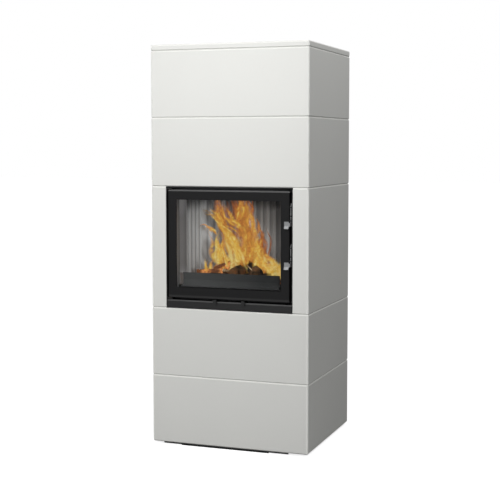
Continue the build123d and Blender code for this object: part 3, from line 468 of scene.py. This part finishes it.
finishes = {
    "concrete": makeConcrete(concreteLook), "black_steel": makeBlackSteel(blackLook),
    "door_black": makeBlackSteel(doorLook), "strip_black": makeBlackSteel(stripLook),
    "raw_steel": makeSheetSteel(bareLook), "grey_strip": makeSheetSteel(retainerLook),
    "guard_plate": makeSheetSteel(guardLook), "zinc_steel": makeZinc(zincLook),
    "stainless": makeStainless(stainlessLook), "brass": makeBrass(brassLook),
    "cast_iron": makeCastIron(castLook), "cheek_painted_light": makeCastIron(cheekLook),
    "light_brick": makeBrick(brickLook), "side_brick": makeBrick(sideBrickLook),
    "rear_brick": makeBrick(rearBrickLook), "hearth_brick": makeBrick(hearthLook),
    "heat_stone": makeHeatStone(stoneLook), "ceramic_glass": makeGlass(glassLook),
    "fibre_rope": makeRope(ropeLook), "wood": makeCharredWood(woodLook),
    "split_wood": makeCharredWood(splitLook), "glowing_firelit_wood": makeCharredWood(glowingFirelitLook),
    "ember": makeEmber(emberLook), "ash": makeAsh(ashLook), "pale_ash": makeAsh(crumbLook),
    "flame": makeFlame(flameLook),
}
# nodes whose coat differs from the usual one of their slot
nodeFinishes = {"door_frame": "door_black", "hinge_pins": "door_black", "lower_strip": "strip_black",
                "glass_retainers": "grey_strip", "log_guard": "guard_plate", "left_cheek": "cheek_painted_light",
                "right_cheek": "cheek_painted_light", "left_liner": "side_brick", "right_liner": "side_brick",
                "rear_liner": "rear_brick", "hearth_bricks": "hearth_brick"}
for part in frame["record"]["subparts"]:
    node = frame["nodes"][part["node"]]
    node.data.materials.clear()
    node.data.materials.append(finishes[nodeFinishes.get(part["node"], part["material_slot"])])
print("finishes: CAD nodes dressed")


# Helpers for new pieces
def makePiece(name, bm, finish, body):
    mesh = bpy.data.meshes.new(name)
    bm.to_mesh(mesh)
    bm.free()
    piece = bpy.data.objects.new(name, mesh)
    scene.collection.objects.link(piece)
    mesh.materials.append(finishes[finish])
    for face in mesh.polygons:
        face.use_smooth = True
    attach(piece, body)
    return piece


def alongCurve(points, t):  # a smooth curve through the points
    spans = len(points) - 1
    at = min(int(t * spans), spans - 1)
    u = t * spans - at
    p1, p2 = Vector(points[at]), Vector(points[at + 1])
    p0 = Vector(points[at - 1]) if at > 0 else p1 * 2 - p2
    p3 = Vector(points[at + 2]) if at + 2 <= spans else p2 * 2 - p1
    return 0.5 * (2 * p1 + (p2 - p0) * u + (2 * p0 - 5 * p1 + 4 * p2 - p3) * u**2
                  + (3 * p1 - p0 - 3 * p2 + p3) * u**3)


# Door rope and tape: soft closed bands that lie a small clearance inside their CAD solids
def frameOutline(lo, hi, inset, corner, s):  # point and outward way at share s of a rounded frame
    x0, x1, z0, z1 = lo.x + inset, hi.x - inset, lo.z + inset, hi.z - inset
    turns = [(x1 - corner, z0 + corner, -90), (x1 - corner, z1 - corner, 0),
             (x0 + corner, z1 - corner, 90), (x0 + corner, z0 + corner, 180)]
    arc = math.pi * corner / 2
    runs = [z1 - z0 - 2 * corner, x1 - x0 - 2 * corner] * 2
    total = sum(runs) + 4 * arc
    left = s * total
    for (cx, cz, start), run in zip(turns, runs):
        if left <= arc:
            angle = math.radians(start) + left / corner
            out = Vector((math.cos(angle), 0, math.sin(angle)))
            return Vector((cx, 0, cz)) + out * corner, out, total
        left -= arc
        end = math.radians(start + 90)
        out = Vector((math.cos(end), 0, math.sin(end)))
        if left <= run:
            way = Vector((-out.z, 0, out.x))
            return Vector((cx, 0, cz)) + out * corner + way * left, out, total
        left -= run
    return frameOutline(lo, hi, inset, corner, 0.0)


def wrapBand(lo, hi, spec, section):  # section gives the shares across and through, and the ridge
    inset, corner = spec["half"] + spec["clear"], spec["corner"]
    deep, middle = (hi.y - lo.y) / 2 - spec["clear"], (lo.y + hi.y) / 2
    bm = bmesh.new()
    bmesh.ops.create_grid(bm, x_segments=spec["rings"], y_segments=spec["around"], size=1.0)
    ridges = bm.verts.layers.float.new("ridge")
    for v in bm.verts:
        s, turn = (v.co.x + 1) / 2 % 1.0, (v.co.y + 1) * math.pi
        centre, out, length = frameOutline(lo, hi, inset, corner, s)
        side, face, v[ridges] = section(spec, s, turn, length)
        v.co = centre + out * side * spec["half"]
        v.co.y = middle + face * deep
    bmesh.ops.remove_doubles(bm, verts=bm.verts, dist=spec["weld"])
    bmesh.ops.recalc_face_normals(bm, faces=bm.faces)
    return bm


ropeSpec = {"rings": 760, "around": 20, "half": 0.0047, "clear": 0.0001, "corner": 0.012, "weld": 0.00002,
            "plaits": 4, "pitch": 0.021, "ridge": 0.10}


def ropeSection(spec, s, turn, length):  # round, with plaits that cross
    twist = s * round(length / spec["pitch"]) * math.tau
    strands = spec["plaits"] * turn
    ridge = max(0.0, math.sin(strands + twist), math.sin(strands - twist))
    swell = 1 - spec["ridge"] * (1 - ridge)
    return math.cos(turn) * swell, math.sin(turn) * swell, ridge


def makeRopeSeal(spec):
    lo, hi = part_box("door_rope_seal")
    bm = wrapBand(lo, hi, spec, ropeSection)
    rope = makePiece("door_rope", bm, "fibre_rope", "door")
    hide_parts("door_rope_seal")


tapeSpec = {"rings": 360, "around": 12, "half": 0.0029, "clear": 0.0001, "corner": 0.0049, "weld": 0.00002,
            "sidePower": 0.4, "facePower": 0.6, "weave": 0.0022}


def tapeSection(spec, s, turn, length):  # flat, with rounded edges and a fine weave
    across, through = math.cos(turn), math.sin(turn)
    side = math.copysign(abs(across) ** spec["sidePower"], across)
    face = math.copysign(abs(through) ** spec["facePower"], through)
    return side, face, 0.5 + 0.5 * math.sin(s * length / spec["weave"] * math.tau)


def makeTape(spec):
    lo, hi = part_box("glass_tape")
    bm = wrapBand(lo, hi, spec, tapeSection)
    tape = makePiece("glass_cushion_tape", bm, "fibre_rope", "door")
    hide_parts("glass_tape")


# Fasteners: a head's rounding, socket and lip are shares of its radius or its rise
screwSpec = {"head": 0.0036, "rise": 0.0020, "sides": 24, "taper": 0.9, "round": 0.4, "roundSteps": 3,
             "rim": 0.35, "lip": 0.04, "sink": 0.6, "facing": (0, 1, 0), "grilleIn": 0.006,
             "rosetteIn": 0.010, "rosetteAt": (45, 135, 225, 315), "weld": 0.00001}


def makeScrewHead(spec):  # a pan head with a round socket, its seat on z = 0
    head, rise = spec["head"], spec["rise"]
    bm = bmesh.new()
    bmesh.ops.create_cone(bm, cap_ends=True, segments=spec["sides"], radius1=head,
                          radius2=head * spec["taper"], depth=rise)
    bmesh.ops.translate(bm, verts=bm.verts, vec=(0, 0, rise / 2))
    top = max(bm.faces, key=lambda f: f.calc_center_median().z)
    bmesh.ops.bevel(bm, geom=list(top.edges), offset=rise * spec["round"], segments=spec["roundSteps"],
                    profile=0.5, affect="EDGES", material=-1)
    top = max((f for f in bm.faces if len(f.verts) > 4), key=lambda f: f.calc_center_median().z)
    bmesh.ops.inset_individual(bm, faces=[top], thickness=head * spec["rim"])
    bmesh.ops.inset_individual(bm, faces=[top], thickness=head * spec["lip"], depth=-rise * spec["sink"])
    mesh = bpy.data.meshes.new("screwHead")
    bm.to_mesh(mesh)
    bm.free()
    return mesh


def addCopy(bm, mesh, place):
    before = len(bm.verts)
    bm.from_mesh(mesh)
    bm.verts.ensure_lookup_table()
    bmesh.ops.transform(bm, matrix=place, verts=bm.verts[before:])


def makeScrews(name, places, body, spec, replaced=None):
    head = makeScrewHead(spec)
    turn = Vector((0, 0, 1)).rotation_difference(Vector(spec["facing"])).to_matrix().to_4x4()
    bm = bmesh.new()
    for place in places:
        addCopy(bm, head, Matrix.Translation(place) @ turn)
    screws = makePiece(name, bm, "zinc_steel", body)
    if replaced:
        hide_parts(replaced)


def solidBoxes(node, weld):  # low and high corner of each separate solid of a CAD node
    bm = bmesh.new()
    bm.from_mesh(frame["nodes"][node].data)
    bmesh.ops.remove_doubles(bm, verts=bm.verts, dist=weld)
    left, boxes = set(bm.verts), []
    while left:
        todo = [left.pop()]
        found = []
        while todo:
            v = todo.pop()
            found.append(v.co.copy())
            near = {e.other_vert(v) for e in v.link_edges} & left
            left -= near
            todo.extend(near)
        lo = Vector([min(c[i] for c in found) for i in range(3)])
        hi = Vector([max(c[i] for c in found) for i in range(3)])
        boxes.append((lo, hi))
    bm.free()
    return boxes


def makeFasteners(spec):
    seats = [((lo.x + hi.x) / 2, hi.y - spec["rise"], (lo.z + hi.z) / 2)
             for lo, hi in solidBoxes("retainer_screws", spec["weld"])]
    makeScrews("retainer_screw_heads", seats, "door", spec, "retainer_screws")
    lo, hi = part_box("rear_air_grille")
    margin = spec["grilleIn"]
    corners = [(x, hi.y, z) for x in (lo.x + margin, hi.x - margin) for z in (lo.z + margin, hi.z - margin)]
    makeScrews("grille_screws", corners, "casing", spec)
    lo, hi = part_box("flue_rosette")
    middle = (lo + hi) / 2
    reach = (hi.x - lo.x) / 2 - spec["rosetteIn"]
    ring = [(middle.x + reach * math.cos(a), hi.y, middle.z + reach * math.sin(a))
            for a in map(math.radians, spec["rosetteAt"])]
    makeScrews("rosette_screws", ring, "casing", spec)


makeRopeSeal(ropeSpec)
makeTape(tapeSpec)
makeFasteners(screwSpec)
print("soft pieces and fasteners: made")


# The fire: logs, embers and ash on the hearth, in millimetres from the stove's own origin
mm = 0.001
logSpecs = [
    {"name": "log_front", "from": (-125, -150, 633), "to": (118, -138, 631), "radius": 21, "seed": 3},
    {"name": "log_rear", "from": (-118, -58, 636), "to": (126, -62, 634), "radius": 24, "seed": 8},
    {"name": "log_left", "from": (-178, -146, 650), "to": (-82, -126, 656), "radius": 12, "seed": 14,
     "finish": "glowing_firelit_wood"},
    {"name": "log_middle", "from": (-30, -60, 656), "to": (-24, -168, 652), "radius": 22, "seed": 21},
    {"name": "log_right", "from": (-8, -66, 678), "to": (76, -158, 652), "radius": 23, "seed": 33},
    {"name": "log_stick", "from": (88, -170, 640), "to": (20, -60, 668), "radius": 9, "seed": 40},
    {"name": "log_plank", "from": (-70, -154, 662), "to": (-12, -148, 656), "radius": 5, "seed": 51,
     "finish": "split_wood"},
    {"name": "log_splinter", "from": (22, -136, 684), "to": (68, -158, 651), "radius": 1.8, "seed": 57,
     "finish": "split_wood"},
    {"name": "log_cross_low", "from": (-114, -128, 662), "to": (-54, -96, 690), "radius": 8, "seed": 62,
     "finish": "glowing_firelit_wood"},
    {"name": "log_cross_high", "from": (-104, -84, 692), "to": (-46, -132, 664), "radius": 7, "seed": 68,
     "finish": "glowing_firelit_wood"},
]
# knots and barks are noise scales in x, y and z
logShape = {"sides": 36, "taper": 0.93, "rings": 3, "ringWidth": 0.24, "ringDepth": 0.0006, "cuts": 40,
            "seedSteps": (7.3, 3.1, 1.7), "knots": (30, 30, 14), "barks": (210, 210, 55), "flat": 0.22,
            "flats": 1.5, "knot": 0.16, "bark": 0.09, "ragged": 0.004, "bend": 0.18, "bends": 4}


def makeLog(spec, shape):
    start, end = Vector(spec["from"]) * mm, Vector(spec["to"]) * mm
    radius, length = spec["radius"] * mm, (end - start).length
    bm = bmesh.new()
    bmesh.ops.create_cone(bm, cap_ends=True, segments=shape["sides"], radius1=radius,
                          radius2=radius * shape["taper"], depth=length)
    caps = [f for f in bm.faces if len(f.verts) > 4]
    for ring in range(shape["rings"]):
        bmesh.ops.inset_individual(bm, faces=caps, thickness=radius * shape["ringWidth"],
                                   depth=-shape["ringDepth"] * (ring % 2))
    sides = [e for e in bm.edges if abs(e.verts[0].co.z - e.verts[1].co.z) > length / 2]
    bmesh.ops.subdivide_edges(bm, edges=sides, cuts=shape["cuts"], use_grid_fill=True)
    seed = spec["seed"]
    offset = Vector([seed * step for step in shape["seedSteps"]])
    for v in bm.verts:
        reach = Vector((v.co.x, v.co.y, 0)).length / radius
        knot, bark = [noise.noise(Vector([c * scale for c, scale in zip(v.co, shape[key])]) + offset)
                      for key in ("knots", "barks")]
        turned = math.atan2(v.co.y, v.co.x) * shape["flats"]
        flat = 1 - shape["flat"] * max(0.0, math.cos(turned + seed))
        swell = flat * (1 + shape["knot"] * knot + shape["bark"] * bark * reach)
        v.co.x *= swell
        v.co.y *= swell
        v.co.z += shape["ragged"] * knot * reach
        v.co.x += radius * shape["bend"] * math.sin(v.co.z / length * shape["bends"] + seed)
    turn = Vector((0, 0, 1)).rotation_difference((end - start).normalized()).to_matrix().to_4x4()
    bmesh.ops.transform(bm, matrix=Matrix.Translation((start + end) / 2) @ turn, verts=bm.verts)
    makePiece(spec["name"], bm, spec.get("finish", "wood"), "casing")


emberSpec = {"count": 120, "middle": (0, -115), "half": (150, 75), "small": 4, "large": 11, "bed": 615,
             "seed": 5, "spread": 0.45, "sit": 0.6, "heap": 0.010, "heapSlope": 1.6, "ragged": 0.55,
             "facets": 1.3, "apart": 900, "tilt": 1.5, "squat": (1.2, 0.85, 0.75, 1.0)}


def makeEmbers(spec):
    rng = random.Random(spec["seed"])
    (midX, midY), (halfX, halfY) = spec["middle"], spec["half"]
    bm = bmesh.new()
    for _ in range(spec["count"]):
        size = rng.uniform(spec["small"], spec["large"]) * mm
        x, y = rng.gauss(0, spec["spread"]), rng.uniform(-1, 1)
        place = Vector((midX + x * halfX, midY + y * halfY, 0)) * mm
        place.x = min(max(place.x, (midX - halfX) * mm), (midX + halfX) * mm)
        heap = spec["heap"] * max(0.0, 1 - abs(x) * spec["heapSlope"]) * rng.random()
        place.z = spec["bed"] * mm + size * spec["sit"] + heap
        made = bmesh.ops.create_icosphere(bm, subdivisions=2, radius=size)
        for v in made["verts"]:
            facet = noise.noise(v.co / size * spec["facets"] + place * spec["apart"])
            v.co *= 1 + spec["ragged"] * facet
        turn = Matrix.Rotation(rng.uniform(0, math.tau), 4, "Z")
        turn = turn @ Matrix.Rotation(rng.uniform(0, spec["tilt"]), 4, "X") @ Matrix.Diagonal(spec["squat"])
        bmesh.ops.transform(bm, matrix=Matrix.Translation(place) @ turn, verts=made["verts"])
    makePiece("embers", bm, "ember", "casing")


# lumps, grits and wanders are noise scales in x and y, and a level
ashSpec = {"half": (172, 98), "middleY": -124, "bed": 610.5, "grid": (110, 70), "slope": 5, "height": 11,
           "lumps": (4.1, 3.3, 2.0), "grit": 1.2, "grits": (40, 30, 7.0), "wander": 0.05,
           "wanders": (6, 6, 1.0), "skin": 0.0004}


def makeAshBed(spec):
    bm = bmesh.new()
    bmesh.ops.create_grid(bm, x_segments=spec["grid"][0], y_segments=spec["grid"][1], size=1.0)
    wide, deep = spec["half"][0] * mm, spec["half"][1] * mm
    for v in bm.verts:
        edge = min(1.0, (1 - max(abs(v.co.x), abs(v.co.y))) * spec["slope"])
        lump, grit, wander = [noise.noise(Vector((v.co.x * across, v.co.y * along, level)))
                              for across, along, level in (spec["lumps"], spec["grits"], spec["wanders"])]
        shrink = 1 - spec["wander"] * wander
        rise = (0.5 + 0.5 * lump) * spec["height"] + grit * spec["grit"]
        v.co = Vector((v.co.x * wide * shrink, v.co.y * deep * shrink, edge * rise * mm))
    bmesh.ops.translate(bm, verts=bm.verts, vec=(0, spec["middleY"] * mm, spec["bed"] * mm))
    piece = makePiece("ash_bed", bm, "ash", "casing")
    solid = piece.modifiers.new("thickness", "SOLIDIFY")
    solid.thickness = spec["skin"]
    solid.offset = 1.0


crumbSpec = {"places": [(-176, -150, 663), (-171, -146, 664), (-166, -152, 662), (-160, -147, 664),
                        (-153, -151, 663)],
             "size": 2.6, "smallest": 0.7, "largest": 1.3, "ragged": 0.5, "seed": 9}


def makeCrumbs(spec):  # pale ash left on the end of the left log
    rng = random.Random(spec["seed"])
    bm = bmesh.new()
    for place in spec["places"]:
        size = spec["size"] * rng.uniform(spec["smallest"], spec["largest"]) * mm
        made = bmesh.ops.create_icosphere(bm, subdivisions=2, radius=size)["verts"]
        for v in made:
            v.co *= 1 + spec["ragged"] * noise.noise(v.co / size + Vector(place))
        bmesh.ops.translate(bm, verts=made, vec=Vector(place) * mm)
    makePiece("ash_crumbs", bm, "pale_ash", "casing")


for spec in logSpecs:
    makeLog(spec, logShape)
makeCrumbs(crumbSpec)
makeEmbers(emberSpec)
makeAshBed(ashSpec)
print("logs, embers and ash: laid")


# Flames: closed tongues round curved spines. A row is half width, depth (y), heat and the spine in x and z
tongueRows = [
    (17, -104, 0.84, [(-8, 672), (-27, 729), (-56, 775), (-85, 813), (-118, 853), (-146, 876),
                      (-184, 892)]),
    (25, -118, 0.90, [(-34, 668), (-26, 700), (-29, 735), (-37, 770), (-44, 806), (-40, 830)]),
    (24, -84, 0.50, [(12, 672), (4, 730), (8, 775), (-4, 822), (0, 872), (-14, 930), (-22, 962)]),
    (16, -96, 0.62, [(26, 740), (34, 790), (30, 830), (18, 871), (2, 901), (-14, 945)]),
    (30, -74, 0.24, [(-14, 760), (-31, 821), (-40, 867), (-58, 902), (-74, 948)]),
    (10, -110, 0.76, [(2, 815), (-30, 838), (-62, 856), (-80, 882), (-92, 926)]),
    (15, -90, 0.32, [(46, 690), (62, 740), (66, 778), (54, 808), (36, 838)]),
    (24, -108, 0.84, [(44, 664), (58, 712), (56, 748), (44, 795)]),
    (19, -120, 0.80, [(112, 636), (96, 676), (80, 706), (70, 740)]),
    (30, -128, 1.00, [(136, 628), (132, 664), (114, 692), (88, 716)]),
    (18, -122, 0.96, [(156, 628), (152, 662), (138, 692), (130, 712)]),
    (20, -112, 0.82, [(-92, 668), (-103, 716), (-110, 764), (-116, 822)]),
    (19, -100, 0.76, [(-64, 662), (-80, 706), (-91, 742), (-90, 776), (-80, 812)]),
    (7, -106, 0.72, [(-112, 790), (-130, 814), (-150, 822), (-168, 806)]),
    (14, -126, 0.76, [(-128, 650), (-132, 676), (-124, 706)]),
    (15, -100, 0.58, [(22, 680), (32, 730), (24, 768), (26, 815), (30, 852), (18, 896)]),
    (16, -88, 0.62, [(-16, 840), (-6, 893), (-12, 918), (-2, 956)]),
    (23, -96, 0.50, [(-86, 842), (-112, 896), (-116, 946)]),
    (12, -80, 0.22, [(22, 870), (18, 912), (6, 952)]),
    (18, -92, 0.34, [(-100, 655), (-88, 676), (-96, 706)]),
    (20, -88, 0.26, [(-60, 655), (-50, 684), (-60, 718)]),
    (22, -86, 0.44, [(-16, 655), (-12, 690), (-22, 730)]),
    (22, -66, 0.36, [(-60, 700), (-70, 760), (-96, 820), (-110, 880), (-96, 930)]),
    (34, -70, 0.60, [(60, 650), (48, 700), (30, 760), (20, 830)]),
    (36, -62, 0.48, [(-10, 660), (-8, 720), (-14, 780), (-6, 850)]),
    (24, -74, 0.46, [(104, 645), (96, 690), (76, 740), (60, 790)]),
]
flameTongues = [dict(zip(("half", "y", "heat", "spine"), row)) for row in tongueRows]
# flickers, sways and drifts are a step per tongue, a scale along it, and a spread or a level
tongueShape = {"around": 12, "rings": 26, "aim": 0.02, "taper": 0.7, "foot": 9, "girth": 1.3, "flat": 0.30,
               "flickers": (5.1, 34, 0.6), "flicker": 0.75, "sways": (2.3, 46, 4.0), "swayLeast": 9,
               "sway": 1.1, "drifts": (1.9, 2.2, 9.0), "drift": 1.2, "lick": 3.7}
wispSpec = {"count": 110, "seed": 11, "drift": 14, "driftUp": 0.8, "lowest": 632, "highest": 960,
            "fewest": 3, "nearer": -34, "farther": 26, "slimmest": 3.0, "thin": 0.35, "wide": 0.95,
            "cooler": -0.34, "hotter": 0.24, "frontDense": 0.90, "wispDense": 0.62, "rear": -92,
            "front": -112}
flameLayers = ("edge", "rise", "warmth", "across", "along", "lick", "dense")


def addTongue(bm, tongue, seed, shape):
    made = bmesh.ops.create_uvsphere(bm, u_segments=shape["around"], v_segments=shape["rings"], radius=1.0)
    layers = [bm.verts.layers.float[name] for name in flameLayers]
    spine, half = tongue["spine"], tongue["half"]
    length = sum((Vector(b) - Vector(a)).length for a, b in zip(spine, spine[1:]))
    rings = {}
    for v in made["verts"]:
        rise = round(math.acos(max(-1.0, min(1.0, -v.co.z))) / math.pi, 4)
        turn = math.atan2(v.co.y, v.co.x)
        if rise not in rings:
            above, below = min(1.0, rise + shape["aim"]), max(0.0, rise - shape["aim"])
            ahead = alongCurve(spine, above) - alongCurve(spine, below)
            rings[rise] = alongCurve(spine, rise), Vector((-ahead.y, ahead.x)).normalized()
        at, side = rings[rise]
        width = half * (1 - rise) ** shape["taper"] * (1 - math.exp(-rise * shape["foot"])) * shape["girth"]
        step, scale, spread = shape["flickers"]
        flicker = noise.noise(Vector((seed * step, rise * length / scale, math.cos(turn) * spread)))
        step, scale, level = shape["sways"]
        swayed = noise.noise(Vector((seed * step, rise * length / scale, level)))
        sway = swayed * (shape["swayLeast"] + half * shape["sway"]) * rise
        step, scale, level = shape["drifts"]
        drift = noise.noise(Vector((seed * step, rise * scale, level))) * half * shape["drift"]
        reach = width * math.cos(turn) * (1 + shape["flicker"] * flicker)
        values = (abs(math.cos(turn)), rise, tongue["heat"], reach * mm, rise * length * mm,
                  seed * shape["lick"], tongue["dense"])
        for layer, value in zip(layers, values):
            v[layer] = value
        depth = tongue["y"] + width * math.sin(turn) * shape["flat"] + drift
        v.co = Vector((at.x + side.x * (reach + sway), depth, at.y + side.y * (reach + sway))) * mm


def makeFlames(tongues, wisps, shape):
    rng = random.Random(wisps["seed"])
    made = [dict(tongue, dense=wisps["frontDense"]) for tongue in tongues]
    for _ in range(wisps["count"]):
        model = tongues[rng.randrange(len(tongues))]
        shiftX, shiftZ = rng.gauss(0, wisps["drift"]), rng.gauss(0, wisps["drift"] * wisps["driftUp"])
        spine = [(x + shiftX, max(wisps["lowest"], min(wisps["highest"], z + shiftZ)))
                 for x, z in model["spine"]]
        keep = rng.randint(wisps["fewest"], len(spine))
        first = rng.randint(0, len(spine) - keep)
        depth = model["y"] + rng.uniform(wisps["nearer"], wisps["farther"])
        half = max(wisps["slimmest"], model["half"] * rng.uniform(wisps["thin"], wisps["wide"]))
        heat = model["heat"] + rng.uniform(wisps["cooler"], wisps["hotter"])
        made.append({"spine": spine[first:first + keep], "y": depth, "half": half, "heat": heat,
                     "dense": wisps["wispDense"]})
    rear, front = wisps["rear"], wisps["front"]
    layers = {"flames_rear": lambda y: y > rear, "flames_middle": lambda y: front < y <= rear,
              "flames_front": lambda y: y <= front}
    for name, belongs in layers.items():
        bm = bmesh.new()
        for attribute in flameLayers:
            bm.verts.layers.float.new(attribute)
        for seed, tongue in enumerate(made):
            if belongs(tongue["y"]):
                addTongue(bm, tongue, seed, shape)
        bmesh.ops.recalc_face_normals(bm, faces=bm.faces)
        flames = makePiece(name, bm, "flame", "casing")
        flames.visible_diffuse = False  # the glow lamp lights the chamber evenly instead


makeFlames(flameTongues, wispSpec, tongueShape)
print("flames: lit")


# Studio: a pale floor that fades to white, soft lights and a camera that looks slightly down
studio = {"floorHalf": 30.0, "floorPaint": (0.86, 0.86, 0.86), "floorBounce": (0.30, 0.30, 0.30),
          "floorGlow": 0.80, "floorGloss": 0.9, "floorShine": 0.1, "backdrop": 1.0, "ambient": 0.286,
          "bounces": 48}


def makeFloor(look):
    bm = bmesh.new()
    bmesh.ops.create_grid(bm, x_segments=2, y_segments=2, size=look["floorHalf"])
    mesh = bpy.data.meshes.new("studioFloor")
    bm.to_mesh(mesh)
    bm.free()
    floor = bpy.data.objects.new("studioFloor", mesh)
    scene.collection.objects.link(floor)
    s = Surface("studioFloor")
    seen = s.node("LightPath", out="Is Camera Ray")
    gloss = {"Roughness": look["floorGloss"], "Specular_IOR_Level": look["floorShine"]}
    paint = s.principled(Base_Color=look["floorPaint"], Emission_Color=(1.0, 1.0, 1.0),
                         Emission_Strength=look["floorGlow"], **gloss)
    bounce = s.principled(Base_Color=look["floorBounce"], **gloss)
    mesh.materials.append(s.done(s.node("MixShader", sockets={0: seen, 1: bounce, 2: paint})))


def makeWorld(look):
    world = bpy.data.worlds.new("studioWhite")
    world.use_nodes = True
    tree = world.node_tree
    tree.nodes.clear()
    lit, seen, path, mixed, end = [tree.nodes.new("ShaderNode" + kind) for kind in
                                   ("Background", "Background", "LightPath", "MixShader", "OutputWorld")]
    lit.inputs["Strength"].default_value = look["ambient"]
    seen.inputs["Strength"].default_value = look["backdrop"]
    lit.inputs["Color"].default_value = seen.inputs["Color"].default_value = (1, 1, 1, 1)
    tree.links.new(path.outputs["Is Camera Ray"], mixed.inputs[0])
    tree.links.new(lit.outputs[0], mixed.inputs[1])
    tree.links.new(seen.outputs[0], mixed.inputs[2])
    tree.links.new(mixed.outputs[0], end.inputs["Surface"])
    scene.world = world
    scene.view_settings.view_transform = "Standard"
    scene.cycles.transparent_max_bounces = look["bounces"]


panels = {
    "keyHigh": {"at": (0.0, -1.6, 1.70), "to": (0.0, 0.0, 1.70), "size": (1.6, 0.5), "radiance": 6.3},
    "keyMiddle": {"at": (0.0, -1.6, 1.20), "to": (0.0, 0.0, 1.20), "size": (1.6, 0.5), "radiance": 0.5},
    "keyLow": {"at": (0.0, -1.6, 0.20), "to": (0.0, 0.0, 0.20), "size": (1.6, 0.5), "radiance": 2.0},
    "left": {"at": (-1.5, -1.7, 0.90), "to": (-0.2, -0.275, 0.80), "size": (0.5, 1.2), "radiance": 2.8},
    "sideHigh": {"at": (1.6, 0.0, 2.30), "to": (0.0, 0.0, 2.30), "size": (1.6, 0.5), "radiance": 3.7},
    "sideLow": {"at": (3.4, 0.0, 0.70), "to": (0.0, 0.0, 0.70), "size": (1.6, 0.5), "radiance": 1.45},
    "above": {"at": (0.0, -0.8, 3.20), "to": (0.0, -0.5, 0.0), "size": (1.6, 1.2), "radiance": 1.0},
}


def addLamp(data, spec):  # placed and aimed, and unseen by the camera
    lamp = bpy.data.objects.new(data.name, data)
    lamp.location = spec["at"]
    lamp.rotation_euler = (Vector(spec["to"]) - Vector(spec["at"])).to_track_quat("-Z", "Y").to_euler()
    lamp.visible_camera = False
    scene.collection.objects.link(lamp)
    return lamp


def makePanel(name, spec):
    data = bpy.data.lights.new(name, "AREA")
    data.shape = "RECTANGLE"
    data.size, data.size_y = spec["size"]
    data.energy = spec["radiance"] * math.pi * data.size * data.size_y
    addLamp(data, spec)


chamberLamps = {
    "fireGlow": {"kind": "POINT", "at": (0.0, -0.11, 0.74), "to": (0.0, -0.11, 0.0), "soft": 0.07,
                 "watts": 0.36, "colour": (1.0, 0.91, 0.83)},
    "doorwayBeam": {"kind": "SPOT", "at": (1.25, -1.62, 0.86), "to": (0.0, -0.26, 0.775), "soft": 0.10,
                    "watts": 310.0, "colour": (0.97, 0.985, 1.0), "cone": 17.0, "blend": 0.6},
}
chamberNodes = ("left_cheek", "right_cheek", "left_liner", "right_liner", "rear_liner", "log_guard",
                "glass_retainers", "front_plate", "lower_baffle")


def makeChamberLamp(name, spec, linings):
    data = bpy.data.lights.new(name, spec["kind"])
    data.energy, data.color, data.shadow_soft_size = spec["watts"], spec["colour"], spec["soft"]
    if spec["kind"] == "SPOT":
        data.spot_size, data.spot_blend = math.radians(spec["cone"]), spec["blend"]
    lamp = addLamp(data, spec)
    lamp.visible_glossy = False
    lamp.light_linking.receiver_collection = linings


cameraSpec = {"at": (1.5287, -4.2329, 1.1403), "heading": 20.03, "tilt": -4.484,
              "lens": 83.146, "sensor": 36.0, "shiftY": -0.03}


def makeCamera(spec):
    data = bpy.data.cameras.new("camera")
    data.lens, data.sensor_width, data.shift_y = spec["lens"], spec["sensor"], spec["shiftY"]
    camera = bpy.data.objects.new("camera", data)
    camera.location = spec["at"]
    camera.rotation_euler = (math.radians(90 + spec["tilt"]), 0, math.radians(spec["heading"]))
    scene.collection.objects.link(camera)
    scene.camera = camera


makeFloor(studio)
makeWorld(studio)
for name, spec in panels.items():
    makePanel(name, spec)
linings = bpy.data.collections.new("chamberLinings")  # what the chamber's own lamps light
for name in chamberNodes:
    linings.objects.link(frame["nodes"][name])
for name, spec in chamberLamps.items():
    makeChamberLamp(name, spec, linings)
makeCamera(cameraSpec)
print("studio: floor, lights and camera set")
